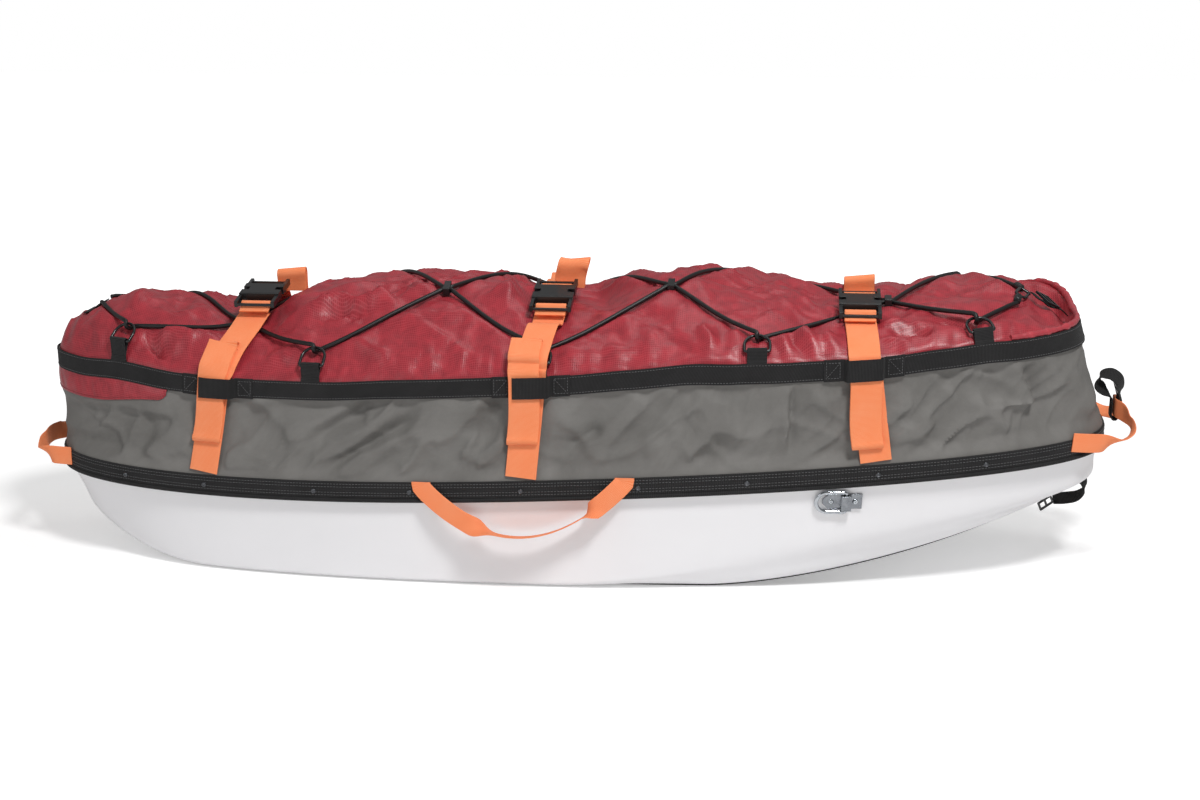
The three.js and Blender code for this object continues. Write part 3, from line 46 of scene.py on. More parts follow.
mm = 0.001  # shapes are worked out in millimetres

# The photograph's viewpoint, in mm and degrees.
viewpoint = {'place': (307.6, -2665.6, 862.7), 'yaw': 5.8, 'pitch': 13.7, 'lens': 60.39, 'sensor': 36}
lens = bpy.data.cameras.new('camera')
lens.lens = viewpoint['lens']
lens.sensor_width = viewpoint['sensor']
camera = bpy.data.objects.new('camera', lens)
camera.location = np.array(viewpoint['place']) * mm
camera.rotation_euler = (math.radians(90 - viewpoint['pitch']), 0, math.radians(viewpoint['yaw']))
scene.collection.objects.link(camera)
scene.camera = camera
scene.view_settings.view_transform = 'Standard'


# Vectors are the last axis of an array.
def unit(v):
    return v / np.maximum(np.linalg.norm(v, axis=-1, keepdims=True), 1e-9)


# Coordinates side by side as one array of places.
def point(x, y, z):
    return np.stack(np.broadcast_arrays(x, y, z), -1).astype(float)


# Smooth step from 0 at low to 1 at high: 3 s^2 - 2 s^3 of the share s of the way between them.
def ease(low, high, value):
    share = np.clip((value - low) / (high - low), 0, 1)
    return share * share * (3 - 2 * share)


# Heights eased between the rows of a table of [place, value].
def tableValue(table, at):
    table = np.array(table, float)
    i = np.clip(np.searchsorted(table[:, 0], at, side='right') - 1, 0, len(table) - 2)
    low, high = table[i], table[i + 1]
    return low[..., 1] + (high[..., 1] - low[..., 1]) * ease(low[..., 0], high[..., 0], at)


# Smooth noise from -1 to 1: random heights on a square lattice, eased between its points.
def lattice(u, v, size, seed):
    heights = np.random.default_rng(seed).uniform(-1, 1, (64, 64))
    i, j = np.floor(u / size).astype(int), np.floor(v / size).astype(int)
    s, t = ease(0, 1, u / size - i), ease(0, 1, v / size - j)
    i, j = i % 64, j % 64
    k, m = (i + 1) % 64, (j + 1) % 64
    near = heights[i, j] * (1 - s) + heights[k, j] * s
    far = heights[i, m] * (1 - s) + heights[k, m] * s
    return near * (1 - t) + far * t


# Creases from 0 to 1: lattice noise drawn out along a direction, sharp where it passes zero.
def creases(u, v, degrees, long, short, seed, sharp):
    turn = math.radians(degrees)
    along = u * math.cos(turn) + v * math.sin(turn)
    over = v * math.cos(turn) - u * math.sin(turn)
    warp = short * 0.8 * lattice(u, v, long * 0.6, seed + 1)
    value = lattice(along * short / long, over + warp, short, seed)
    return (1 - np.abs(value)) ** sharp


# Sum of creases: each row is [degrees, length, width, seed, sharpness, height in mm].
def creaseHeights(u, v, rows, fade=1):
    return sum(creases(u, v, *row[:-1]) * row[-1] * fade for row in rows)


# Height of folds at places: each row is [u and v of both ends, height, width]. A fold is a bell across
# its line that fades towards both ends; a height below 0 is a valley.
def foldHeights(u, v, rows):
    total = np.zeros(np.broadcast(u, v).shape)
    for startU, startV, endU, endV, height, width in rows:
        runU, runV = endU - startU, endV - startV
        long = math.hypot(runU, runV)
        along = ((u - startU) * runU + (v - startV) * runV) / long ** 2
        away = np.abs((u - startU) * runV - (v - startV) * runU) / long
        total += height * np.exp(-(away / width) ** 1.5) * ease(-0.18, 0.25, along) * ease(1.18, 0.75, along)
    return total


# Catmull-Rom curves between rows of places: from b to c with a before and d after, at shares t of the way.
def between(rows, t):
    t = t.reshape(1, -1, *[1] * (rows.ndim - 1))
    a, b, c, d = (rows[k:len(rows) - 3 + k, None] for k in range(4))
    fine = 0.5 * (2 * b + (c - a) * t + (2 * a - 5 * b + 4 * c - d) * t ** 2
                  + (3 * b - a - 3 * c + d) * t ** 3)
    return fine.reshape(-1, *rows.shape[1:])


# The rows of a table read off at values of a measure that grows along it.
def readAt(at, measure, rows):
    return np.stack([np.interp(at, measure, column) for column in rows.T], -1)


# A smooth curve through the rows of a table, in equal steps along its first three columns.
def smoothPath(table, step, loop=False):
    rows = np.array(table, float)
    before, after = 2 * rows[:1] - rows[1:2], 2 * rows[-1:] - rows[-2:-1]
    if loop:
        before, after = rows[-1:], rows[:2]
    fine = between(np.concatenate([before, rows, after]), np.linspace(0, 1, 24, endpoint=False))
    fine = np.concatenate([fine, rows[:1] if loop else rows[-1:]])
    length = lengths(fine[:, :3])
    count = max(int(round(length[-1] / step)), 3)
    even = readAt(np.linspace(0, length[-1], count + 1), length, fine)
    return even[:-1] if loop else even


# A smooth surface between the rows of a grid of places.
def smoothRows(rows, steps):
    ended = np.concatenate([2 * rows[:1] - rows[1:2], rows, 2 * rows[-1:] - rows[-2:-1]])
    return np.concatenate([between(ended, np.arange(steps) / steps), rows[-1:]])


# Length along a path at each of its places, and the same with the way back to the first place.
def lengths(path):
    return np.concatenate([[0], np.cumsum(np.linalg.norm(np.diff(path, axis=0), axis=-1))])


# Lengths along a closed path, with the way back to its start as the last.
def loopLengths(path):
    return lengths(np.concatenate([path, path[:1]]))


# Places on the cloth in mm: u along its rows, v across them.
def clothUv(u, v):
    return np.stack(np.broadcast_arrays(u[:, None], v), -1)


# Smooth shading, with sharp edges where two faces meet at more than the crease in degrees.
def shaded(mesh, crease):
    mesh.shade_smooth()
    mesh.set_sharp_from_angle(angle=math.radians(crease))
    return mesh


# Distances in mm within which corners become one, and the angle in degrees between faces that do.
weld = {'grid': 0.02, 'sliver': 0.001, 'node': 0.01, 'flat': 2}


# A mesh with one quad between each four neighbours of a grid of places in mm, turned outwards.
# uv is a place in mm on the cloth for each corner of the grid, with the seam's own last row or column.
def gridMesh(places, uv=None, loopRows=False, loopCols=False, caps=False, crease=35, merge=False):
    rows, cols = places.shape[:2]
    index = np.arange(rows * cols).reshape(rows, cols)
    if loopRows:
        index = np.concatenate([index, index[:1]])
    if loopCols:
        index = np.concatenate([index, index[:, :1]], axis=1)
    spot = np.arange(index.size).reshape(index.shape)

    def corners(grid):
        return np.stack([grid[:-1, :-1], grid[1:, :-1], grid[1:, 1:], grid[:-1, 1:]], -1).reshape(-1, 4)

    quads, spots = corners(index), corners(spot)
    flat = places.reshape(-1, 3)
    a, b, c, d = (flat[quads[:, k]] - flat.mean(0) for k in range(4))
    volume = (np.cross(b, c) * a).sum() + (np.cross(c, d) * a).sum()
    if volume < 0:
        quads, spots = quads[:, ::-1], spots[:, ::-1]
    faces, corner = quads.tolist(), spots.ravel().tolist()
    if caps:
        for row, back in ((0, volume > 0), (rows - 1, volume < 0)):
            ring, ringSpots = index[row, :cols].tolist(), spot[row, :cols].tolist()
            faces.append(ring if back else ring[::-1])
            corner += ringSpots if back else ringSpots[::-1]
    mesh = bpy.data.meshes.new('grid')
    mesh.from_pydata((flat * mm).tolist(), [], faces)
    if uv is not None:
        layer = mesh.uv_layers.new(name='cloth')
        layer.data.foreach_set('uv', uv.reshape(-1, 2)[corner].ravel().astype(np.float32))
    if merge:
        work = bmesh.new()
        work.from_mesh(mesh)
        bmesh.ops.remove_doubles(work, verts=work.verts, dist=weld['grid'] * mm)
        bmesh.ops.dissolve_degenerate(work, edges=work.edges, dist=weld['sliver'] * mm)
        work.to_mesh(mesh)
        work.free()
    return shaded(mesh, crease)


# Joins several meshes into one.
def joined(meshes, crease):
    work = bmesh.new()
    for mesh in meshes:
        work.from_mesh(mesh)
    mesh = bpy.data.meshes.new('joined')
    work.to_mesh(mesh)
    work.free()
    return shaded(mesh, crease)


# A finished piece: it replaces CAD nodes, rides on a body and has its material's colour slot.
def addPiece(name, mesh, material, nodes=(), body='sled'):
    piece = bpy.data.objects.new(name, mesh)
    mesh.name = name
    mesh.materials.clear()
    mesh.materials.append(material)
    scene.collection.objects.link(piece)
    if nodes:
        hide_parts(*nodes)
    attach(piece, body)
    return piece


# Directions along a path and square to it: across follows the hint, face is square to both.
def pathFrames(path, hint, loop=False):
    ahead = np.roll(path, -1, 0) if loop else np.concatenate([path[1:], path[-1:]])
    behind = np.roll(path, 1, 0) if loop else np.concatenate([path[:1], path[:-1]])
    run = unit(ahead - behind)
    across = unit(hint - run * (hint * run).sum(-1, keepdims=True))
    return run, across, np.cross(run, across)


# A profile of [across, face] places carried along a path.
def carried(path, hint, profile, loop=False, crease=50):
    _, across, face = pathFrames(path, np.broadcast_to(hint, path.shape), loop)
    places = path[:, None] + across[:, None] * profile[None, :, :1] + face[:, None] * profile[None, :, 1:]
    u = loopLengths(path) if loop else lengths(path)
    uv = clothUv(u, np.append(profile[:, 0], profile[0, 0]))
    return gridMesh(places, uv, loop, True, not loop, crease)


# Webbing seen on its end: flat, with rounded edges.
def webbingProfile(width, thick, count=7):
    half, corner = width / 2, thick / 2
    flat = np.linspace(-(half - corner), half - corner, count)
    turn = np.radians([60, 0, -60])
    right = np.stack([half - corner + corner * np.cos(turn), corner * np.sin(turn)], -1)
    top = np.stack([flat, np.full(count, corner)], -1)
    return np.concatenate([top, right, -top, -right])


# Rings of a round bar, whose frames follow the path without twisting.
def tubePlaces(path, radius, sides, loop=False):
    skewed = [0.13, 0.31, 0.94]  # a direction that no path here runs along
    run, side, _ = pathFrames(path, np.broadcast_to(skewed, path.shape), loop)
    for i in range(1, len(path)):
        side[i] = unit(side[i - 1] - run[i] * (side[i - 1] @ run[i]))
    if loop:  # the last frame meets the first one
        turned = np.cross(run, side)
        last = unit(side[-1] - run[0] * (side[-1] @ run[0]))
        gap = math.atan2(last @ turned[0], last @ side[0])
        back = -gap * np.linspace(0, 1, len(path), endpoint=False)[:, None]
        side = side * np.cos(back) + turned * np.sin(back)
    top = np.cross(run, side)
    turn = 2 * math.pi * np.arange(sides) / sides
    radius = np.broadcast_to(radius, len(path))[:, None, None]
    spokes = side[:, None] * np.cos(turn)[:, None] + top[:, None] * np.sin(turn)[:, None]
    return path[:, None] + radius * spokes


# Round tube: the surface through rings of points at a radius round each place of a path.
def tube(path, radius, sides, loop=False):
    u = loopLengths(path) if loop else lengths(path)
    uv = clothUv(u, np.arange(sides + 1) / sides)
    return gridMesh(tubePlaces(path, radius, sides, loop), uv, loop, True, not loop)


# A profile of [radius, height] turned round a normal at each place.
def turned(places, normals, profile, sides=20):
    profile = np.array(profile, float)
    turn = 2 * math.pi * np.arange(sides) / sides
    meshes = []
    for place, normal in zip(places, normals):
        side = unit(np.cross(normal, [0.2, 0.1, 0.97]))
        top = np.cross(normal, side)
        spoke = side * np.cos(turn)[:, None] + top * np.sin(turn)[:, None]
        rows = place + profile[:, None, :1] * spoke[None] + profile[:, None, 1:] * normal
        meshes.append(gridMesh(rows, None, False, True, True, 40))
    return joined(meshes, 40)


# Stitches laid along paths: small capsules at equal steps, each a few dozen faces. size holds their
# pitch, length and radius in mm.
def stitchMesh(paths, size):
    pitch, long, radius = size
    ends = np.array([-1, -0.86, 0.86, 1]) * long / 2
    girth = np.array([0.25, 1, 1, 0.25]) * radius
    sides = 6
    turn = 2 * math.pi * np.arange(sides) / sides
    ring, spoke = np.meshgrid(np.arange(len(ends) - 1), np.arange(sides), indexing='ij')
    nextSpoke = (spoke + 1) % sides
    walls = np.stack([ring * sides + spoke, ring * sides + nextSpoke,
                      (ring + 1) * sides + nextSpoke, (ring + 1) * sides + spoke], -1)
    caps = np.array([np.arange(sides)[::-1], np.arange(sides) + (len(ends) - 1) * sides])
    meshes = []
    for path, outs in paths:
        length = lengths(path)
        at = np.arange(pitch / 2, length[-1], pitch)
        if not len(at):
            continue
        centre = readAt(at, length, path)
        out = unit(readAt(at, length, outs))
        run = unit(readAt(at + 0.5, length, path) - centre)
        side = unit(np.cross(out, run))
        rings = (centre[:, None, None] + run[:, None, None] * ends[None, :, None, None]
                 + side[:, None, None] * (girth[:, None] * np.cos(turn))[None, ..., None]
                 + out[:, None, None] * (girth[:, None] * np.sin(turn))[None, ..., None])
        first = np.arange(len(at))[:, None, None] * sides * len(ends)
        faces = (first + walls.reshape(1, -1, 4)).reshape(-1, 4).tolist()
        faces += (first + caps[None]).reshape(-1, sides).tolist()
        mesh = bpy.data.meshes.new('stitches')
        mesh.from_pydata((rings.reshape(-1, 3) * mm).tolist(), [], faces)
        meshes.append(mesh)
    return joined(meshes, 60)


# A copy of a CAD node with merged corners, whose edges are rounded by a live bevel.
def roundedCopy(name, node, material, radius, body='sled'):
    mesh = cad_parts[node].data.copy()
    work = bmesh.new()
    work.from_mesh(mesh)
    bmesh.ops.remove_doubles(work, verts=work.verts, dist=weld['node'] * mm)
    flat = math.radians(weld['flat'])
    bmesh.ops.dissolve_limit(work, angle_limit=flat, verts=work.verts, edges=work.edges)
    work.to_mesh(mesh)
    work.free()
    crease = 40
    piece = addPiece(name, shaded(mesh, crease), material, [node], body)
    bevel = piece.modifiers.new('roundedEdges', 'BEVEL')
    bevel.width = radius * mm
    bevel.segments = 3
    bevel.limit_method = 'ANGLE'
    bevel.angle_limit = math.radians(crease)
    bevel.harden_normals = True


# Gives cloth its thickness inwards, in mm.
def thicken(piece, thickness):
    wall = piece.modifiers.new('clothThickness', 'SOLIDIFY')
    wall.thickness = thickness * mm
    wall.offset = -1


# Colours are sRGB hex values turned to linear: c / 12.92 when dark, else ((c + 0.055) / 1.055) ** 2.4.
def linear(hexColour):
    parts = [int(hexColour[i:i + 2], 16) / 255 for i in (1, 3, 5)]
    return tuple(c / 12.92 if c <= 0.04045 else ((c + 0.055) / 1.055) ** 2.4 for c in parts) + (1,)


# Gives a node's inputs a number, a colour or another node's output each.
def setInputs(node, inputs):
    for key, value in inputs.items():
        if isinstance(value, bpy.types.NodeSocket):
            node.id_data.links.new(value, node.inputs[key])
        else:
            node.inputs[key].default_value = value


# Adds a node with its inputs, its settings and, for a colour ramp, its stops of [place, colour].
def addNode(tree, kind, inputs, stops=(), **settings):
    node = tree.nodes.new(kind)
    for key, value in settings.items():
        setattr(node, key, value)
    for i, (place, colour) in enumerate(stops):
        node.color_ramp.elements[i].position = place
        node.color_ramp.elements[i].color = linear(colour)
    setInputs(node, inputs)
    return node


# A new material with its node tree and its shader.
def newMaterial(name):
    material = bpy.data.materials.new(name)
    material.use_nodes = True
    tree = material.node_tree
    return material, tree, tree.nodes['Principled BSDF']


# Wave bands of a real period in mm: Blender's wave turns once every pi / 10 of its scaled axis.
def bandScale(period):
    return math.pi / (10 * period)


# Woven polyester webbing: ribs across the strap from its thick weft, fine warp along it, low sheen.
# The rib and warp spacings are in mm.
def webbing(name, base, dark, pale, rib=1.5, warp=0.9, depth=0.5, rough=0.78):
    material, tree, shader = newMaterial(name)
    cloth = addNode(tree, 'ShaderNodeUVMap', {}, uv_map='cloth').outputs['UV']
    ribs = addNode(tree, 'ShaderNodeTexWave', {'Vector': cloth, 'Scale': bandScale(rib), 'Distortion': 0.5,
                   'Detail': 1.0, 'Detail Scale': 1.0}, wave_type='BANDS', bands_direction='X')
    threads = addNode(tree, 'ShaderNodeTexWave', {'Vector': cloth, 'Scale': bandScale(warp)},
                      wave_type='BANDS', bands_direction='Y')
    weave = addNode(tree, 'ShaderNodeMath', {0: ribs.outputs['Fac'], 1: threads.outputs['Fac']},
                    operation='MULTIPLY')
    mottle = addNode(tree, 'ShaderNodeTexNoise', {'Vector': cloth, 'Scale': 0.03, 'Detail': 6.0,
                     'Roughness': 0.6})
    tone = addNode(tree, 'ShaderNodeValToRGB', {'Fac': mottle.outputs['Fac']}, [(0.3, base), (0.75, pale)])
    spread = addNode(tree, 'ShaderNodeMapRange', {'Value': weave.outputs[0], 'From Max': 0.5})
    shade = addNode(tree, 'ShaderNodeMix', {'Factor': spread.outputs['Result'], 'A': linear(dark),
                    'B': tone.outputs['Color']}, data_type='RGBA')
    bump = addNode(tree, 'ShaderNodeBump', {'Height': weave.outputs[0], 'Strength': depth,
                   'Distance': 0.25 * mm})
    setInputs(shader, {'Base Color': shade.outputs['Result'], 'Normal': bump.outputs['Normal'],
                       'Roughness': rough, 'Specular IOR Level': 0.22, 'Sheen Weight': 0.04})
    return material


# Coated ripstop nylon: a thin shiny film over fine threads, with a thicker thread every grid mm. The film's
# crumple is painted darker in its hollows: painted shade.
def ripstop(name, base, dark, pale, grid, rough):
    material, tree, shader = newMaterial(name)
    cloth = addNode(tree, 'ShaderNodeUVMap', {}, uv_map='cloth').outputs['UV']
    split = addNode(tree, 'ShaderNodeSeparateXYZ', {'Vector': cloth})
    lines = []
    for axis in ('X', 'Y'):
        away = addNode(tree, 'ShaderNodeMath', {0: split.outputs[axis], 1: grid / 2}, operation='PINGPONG')
        lines.append(addNode(tree, 'ShaderNodeMapRange', {'Value': away.outputs[0], 'From Min': 0.55,
                             'From Max': 0.2}))
    thread = addNode(tree, 'ShaderNodeMath', {0: lines[0].outputs[0], 1: lines[1].outputs[0]},
                     operation='MAXIMUM')
    weave = addNode(tree, 'ShaderNodeTexNoise', {'Vector': cloth, 'Scale': 1.1, 'Detail': 3.0})
    crumple = addNode(tree, 'ShaderNodeTexNoise', {'Vector': cloth, 'Scale': 0.06, 'Detail': 8.0,
                      'Roughness': 0.62, 'Distortion': 0.6})
    # Darker red where the crumple bump sinks: painted shade in its hollows.
    tone = addNode(tree, 'ShaderNodeValToRGB', {'Fac': crumple.outputs['Fac']}, [(0.32, dark), (0.72, base)])
    share = addNode(tree, 'ShaderNodeMath', {0: thread.outputs[0], 1: 0.42}, operation='MULTIPLY')
    shade = addNode(tree, 'ShaderNodeMix', {'Factor': share.outputs[0], 'A': tone.outputs['Color'],
                    'B': linear(pale)}, data_type='RGBA')
    film = addNode(tree, 'ShaderNodeBump', {'Height': crumple.outputs['Fac'], 'Strength': 0.25,
                   'Distance': 1.6 * mm})
    fine = addNode(tree, 'ShaderNodeBump', {'Height': thread.outputs[0], 'Strength': 0.35,
                   'Distance': 0.15 * mm, 'Normal': film.outputs['Normal']})
    grain = addNode(tree, 'ShaderNodeBump', {'Height': weave.outputs['Fac'], 'Strength': 0.2,
                    'Distance': 0.1 * mm, 'Normal': fine.outputs['Normal']})
    setInputs(shader, {'Base Color': shade.outputs['Result'], 'Normal': grain.outputs['Normal'],
                       'Roughness': rough, 'Specular IOR Level': 0.4})
    return material


# Coated plain-weave polyester: dull, with a faint even weave and soft broad dents, painted darker in their
# hollows: painted shade along with random tone.
def coatedCloth(name, base, dark, pale):
    thread = 0.9  # mm from thread to thread
    material, tree, shader = newMaterial(name)
    cloth = addNode(tree, 'ShaderNodeUVMap', {}, uv_map='cloth').outputs['UV']
    waves = [addNode(tree, 'ShaderNodeTexWave', {'Vector': cloth, 'Scale': bandScale(thread),
             'Distortion': 0.8, 'Detail': 1.0}, wave_type='BANDS', bands_direction=axis)
             for axis in ('X', 'Y')]
    weave = addNode(tree, 'ShaderNodeMath', {0: waves[0].outputs['Fac'], 1: waves[1].outputs['Fac']},
                    operation='ADD')
    cloud = addNode(tree, 'ShaderNodeTexNoise', {'Vector': cloth, 'Scale': 0.012, 'Detail': 7.0,
                    'Roughness': 0.65, 'Distortion': 0.4})
    # Darker where the soft bump sinks: painted shade in its hollows, along with random tone.
    tone = addNode(tree, 'ShaderNodeValToRGB', {'Fac': cloud.outputs['Fac']}, [(0.3, dark), (0.7, base)])
    share = addNode(tree, 'ShaderNodeMath', {0: weave.outputs[0], 1: 0.12}, operation='MULTIPLY')
    shade = addNode(tree, 'ShaderNodeMix', {'Factor': share.outputs[0], 'A': tone.outputs['Color'],
                    'B': linear(pale)}, data_type='RGBA')
    soft = addNode(tree, 'ShaderNodeBump', {'Height': cloud.outputs['Fac'], 'Strength': 0.4,
                   'Distance': 3 * mm})
    fine = addNode(tree, 'ShaderNodeBump', {'Height': weave.outputs[0], 'Strength': 0.25,
                   'Distance': 0.1 * mm, 'Normal': soft.outputs['Normal']})
    setInputs(shader, {'Base Color': shade.outputs['Result'], 'Normal': fine.outputs['Normal'],
                       'Roughness': 0.62, 'Specular IOR Level': 0.3})
    return material


# Braided sleeve over rubber: two sets of strands that wind round the cord against each other.
def braid(name, base, dark):
    strand = 2.2  # mm from strand to strand
    material, tree, shader = newMaterial(name)
    cloth = addNode(tree, 'ShaderNodeUVMap', {}, uv_map='cloth').outputs['UV']
    split = addNode(tree, 'ShaderNodeSeparateXYZ', {'Vector': cloth})
    along = addNode(tree, 'ShaderNodeMath', {0: split.outputs['X'], 1: 1 / strand}, operation='MULTIPLY')
    waves = []
    for turns in (4, -4):
        wound = addNode(tree, 'ShaderNodeMath', {0: split.outputs['Y'], 1: turns, 2: along.outputs[0]},
                        operation='MULTIPLY_ADD')
        waves.append(addNode(tree, 'ShaderNodeMath', {0: wound.outputs[0], 1: 0.5}, operation='PINGPONG'))
    strands = addNode(tree, 'ShaderNodeMath', {0: waves[0].outputs[0], 1: waves[1].outputs[0]},
                      operation='MULTIPLY')
    shade = addNode(tree, 'ShaderNodeMix', {'Factor': strands.outputs[0], 'A': linear(dark),
                    'B': linear(base)}, data_type='RGBA')
    bump = addNode(tree, 'ShaderNodeBump', {'Height': strands.outputs[0], 'Strength': 0.6,
                   'Distance': 0.5 * mm})
    setInputs(shader, {'Base Color': shade.outputs['Result'], 'Normal': bump.outputs['Normal'],
                       'Roughness': 0.45})
    return material


# Moulded plastic: a faint orange peel from the tool, of a size in mm, and slow changes in gloss.
def moulded(name, base, pale, rough, peel=3.0, depth=0.12):
    material, tree, shader = newMaterial(name)
    place = addNode(tree, 'ShaderNodeTexCoord', {}).outputs['Object']
    skin = addNode(tree, 'ShaderNodeTexNoise', {'Vector': place, 'Scale': 1 / (peel * mm), 'Detail': 2.0})
    cloud = addNode(tree, 'ShaderNodeTexNoise', {'Vector': place, 'Scale': 9.0, 'Detail': 5.0})
    shade = addNode(tree, 'ShaderNodeMix', {'Factor': cloud.outputs['Fac'], 'A': linear(base),
                    'B': linear(pale)}, data_type='RGBA')
    gloss = addNode(tree, 'ShaderNodeMapRange', {'Value': cloud.outputs['Fac'], 'To Min': rough * 0.85,
                    'To Max': rough * 1.2})
    bump = addNode(tree, 'ShaderNodeBump', {'Height': skin.outputs['Fac'], 'Strength': depth,
                   'Distance': 0.3 * mm})
    setInputs(shader, {'Base Color': shade.outputs['Result'], 'Roughness': gloss.outputs['Result'],
                       'Normal': bump.outputs['Normal']})
    return material


# Bright zinc on steel: a mirror with fine drawn scratches and a little uneven tint.
def platedSteel(name, base, pale, rough):
    material, tree, shader = newMaterial(name)
    place = addNode(tree, 'ShaderNodeTexCoord', {}).outputs['Object']
    drawn = addNode(tree, 'ShaderNodeMapping', {'Vector': place, 'Scale': (200.0, 1800.0, 1800.0)})
    lines = addNode(tree, 'ShaderNodeTexNoise', {'Vector': drawn.outputs['Vector'], 'Scale': 1.0,
                    'Detail': 3.0})
    cloud = addNode(tree, 'ShaderNodeTexNoise', {'Vector': place, 'Scale': 120.0, 'Detail': 4.0})
    shade = addNode(tree, 'ShaderNodeMix', {'Factor': cloud.outputs['Fac'], 'A': linear(base),
                    'B': linear(pale)}, data_type='RGBA')
    gloss = addNode(tree, 'ShaderNodeMapRange', {'Value': lines.outputs['Fac'], 'To Min': rough * 0.6,
                    'To Max': rough * 1.6})
    bump = addNode(tree, 'ShaderNodeBump', {'Height': lines.outputs['Fac'], 'Strength': 0.08,
                   'Distance': 0.1 * mm})
    setInputs(shader, {'Base Color': shade.outputs['Result'], 'Roughness': gloss.outputs['Result'],
                       'Normal': bump.outputs['Normal'], 'Metallic': 1.0})
    return material


orangeWebbing = webbing('wovenOrangePolyester', '#ff9e6e', '#f5814d', '#ffb085')
blackWebbing = webbing('wovenBlackPolyester', '#2b2a2b', '#171717', '#393839', 1.8, depth=0.6, rough=0.85)
bandWebbing = webbing('ribbedBlackEdging', '#2b2a2b', '#181818', '#383738', 2.4, 1.6, rough=0.75)
# The red ripstop's darker colour is painted shade for the hollows of its crumple.
redRipstop = ripstop('coatedRedRipstopNylon', '#a92c37', '#7c1e28', '#c4535b', grid=2.6, rough=0.35)
# The grey cloth's darker colour is painted shade in the hollows of its soft dents, along with random tone.
greyCloth = coatedCloth('coatedGreyPolyester', '#797774', '#605e5b', '#918f8b')
cordBraid = braid('braidedBlackSleeve', '#262627', '#060607')
blackAcetal = moulded('mouldedBlackAcetal', '#121314', '#1b1c1d', 0.3)
whiteShell = moulded('vacuumFormedWhitePolyethylene', '#f0eff1', '#f6f5f7', 0.34, peel=4.0, depth=0.08)
runnerPlastic = moulded('extrudedBlackPolyethylene', '#161617', '#222223', 0.45)
zincPlate = platedSteel('rolledZincSteel', '#74777c', '#a5a9ae', 0.24)
zincWire = platedSteel('brightDrawnZincSteel', '#a4a9af', '#d3d7db', 0.1)
rivetSteel = platedSteel('darkZincSteel', '#4a4b4e', '#77797d', 0.3)
blackSteel = moulded('blackCoatedSteel', '#151617', '#202122', 0.26, peel=1.5)
blackThread = moulded('blackPolyesterThread', '#505051', '#626263', 0.6)
redThread = moulded('redPolyesterThread', '#7c222b', '#93323b', 0.6)

print('materials made')

# Driving sizes in mm, and the gaps between pieces that are seated and that only pass each other.
halfLength, halfWidth, hullDepth, skirtDepth = 712, 213, 151, 136
seatGap, fineGap = 0.3, 0.5

# Plan outlines: superellipses with one roundness at the nose and one at the stern.
rimPlan = {'nose': halfLength, 'stern': halfLength, 'half': halfWidth, 'noseRound': 2.75, 'sternRound': 2.63}
hemPlan = {'nose': 671, 'stern': 723, 'half': 211, 'noseRound': 3.36, 'sternRound': 1.97}
bottomPlan = {'nose': 655, 'stern': 620, 'half': 165, 'noseRound': 2, 'sternRound': 2.6}
chinePlan = {'nose': 700, 'stern': 676, 'half': 187, 'noseRound': 2.5, 'sternRound': 2.6}


# x = reach |cos|^(2/n), y = half |sin|^(2/n), each with its sign; offset widens the outline.
def planPlace(plan, angle, offset=0):
    cosine, sine = np.cos(angle), np.sin(angle)
    power = 2 / np.where(cosine >= 0, plan['noseRound'], plan['sternRound'])
    reach = np.where(cosine >= 0, plan['nose'], plan['stern']) + offset
    x = reach * np.sign(cosine) * np.abs(cosine) ** power
    y = (plan['half'] + offset) * np.sign(sine) * np.abs(sine) ** power
    return x, y


# Angles whose places step evenly round the rim, from the nose round the left side.
def evenAngles(count):
    angle = np.linspace(0, math.pi, 4001)
    x, y = planPlace(rimPlan, angle)
    length = lengths(np.stack([x, y], -1))
    half = np.interp(np.linspace(0, length[-1], count // 2 + 1), length, angle)
    return np.concatenate([half, -half[-2:0:-1]])


# Heights of the tub's rim and of the skirt's hem along the sled, as in the frame.
heights = {'base': 3.3, 'tilt': 39, 'bow': 20, 'twist': -9.5, 'skirtTilt': 13.5, 'skirtTwist': -5,
           'wave': 8, 'farLift': 20, 'liftAlong': (0.75, 0.92), 'liftAcross': (0, 0.6)}
hemWaveShares = [
    [-1.03, 0], [-0.94, 0.3], [-0.84, 0.95], [-0.7, 0.05], [-0.64, -0.2], [-0.5, -0.2], [-0.42, -0.25],
    [-0.28, 0.15], [-0.12, 0.2], [0.02, 0], [0.14, 0.35], [0.24, 0.7], [0.33, 0.2], [0.42, -0.15],
    [0.58, -0.45], [0.68, 0], [0.76, 0.25], [0.82, 0], [1.03, 0],
]


# Height = base + depth + tilt u + bow u^2 + twist u^3, with u the share of the half length.
def rimTop(x):
    u = x / halfLength
    level = heights['base'] + hullDepth
    return level + heights['tilt'] * u + heights['bow'] * u ** 2 + heights['twist'] * u ** 3


# The rim's height, the skirt's depth, a tilt and twist of its own, a wave and a lift on the far nose.
def hemTop(x, y):
    u = x / halfLength
    raised = heights['farLift'] * ease(*heights['liftAlong'], u) * ease(*heights['liftAcross'], y / halfWidth)
    lift = np.where(y > 0, raised, 0)
    wave = heights['wave'] * tableValue(hemWaveShares, u)
    return rimTop(x) + skirtDepth + heights['skirtTilt'] * u + heights['skirtTwist'] * u ** 3 + wave + lift


# The leaning wall: share 0 is the rim's top and 1 the hem's, offset is counted outwards.
def wallPlace(angle, share, offset=0):
    lowX, lowY = planPlace(rimPlan, angle, offset)
    highX, highY = planPlace(hemPlan, angle, offset)
    low, high = rimTop(lowX), hemTop(highX, highY)
    return point(lowX + (highX - lowX) * share, lowY + (highY - lowY) * share, low + (high - low) * share)


fineAngles = np.linspace(0, math.pi, 3001)


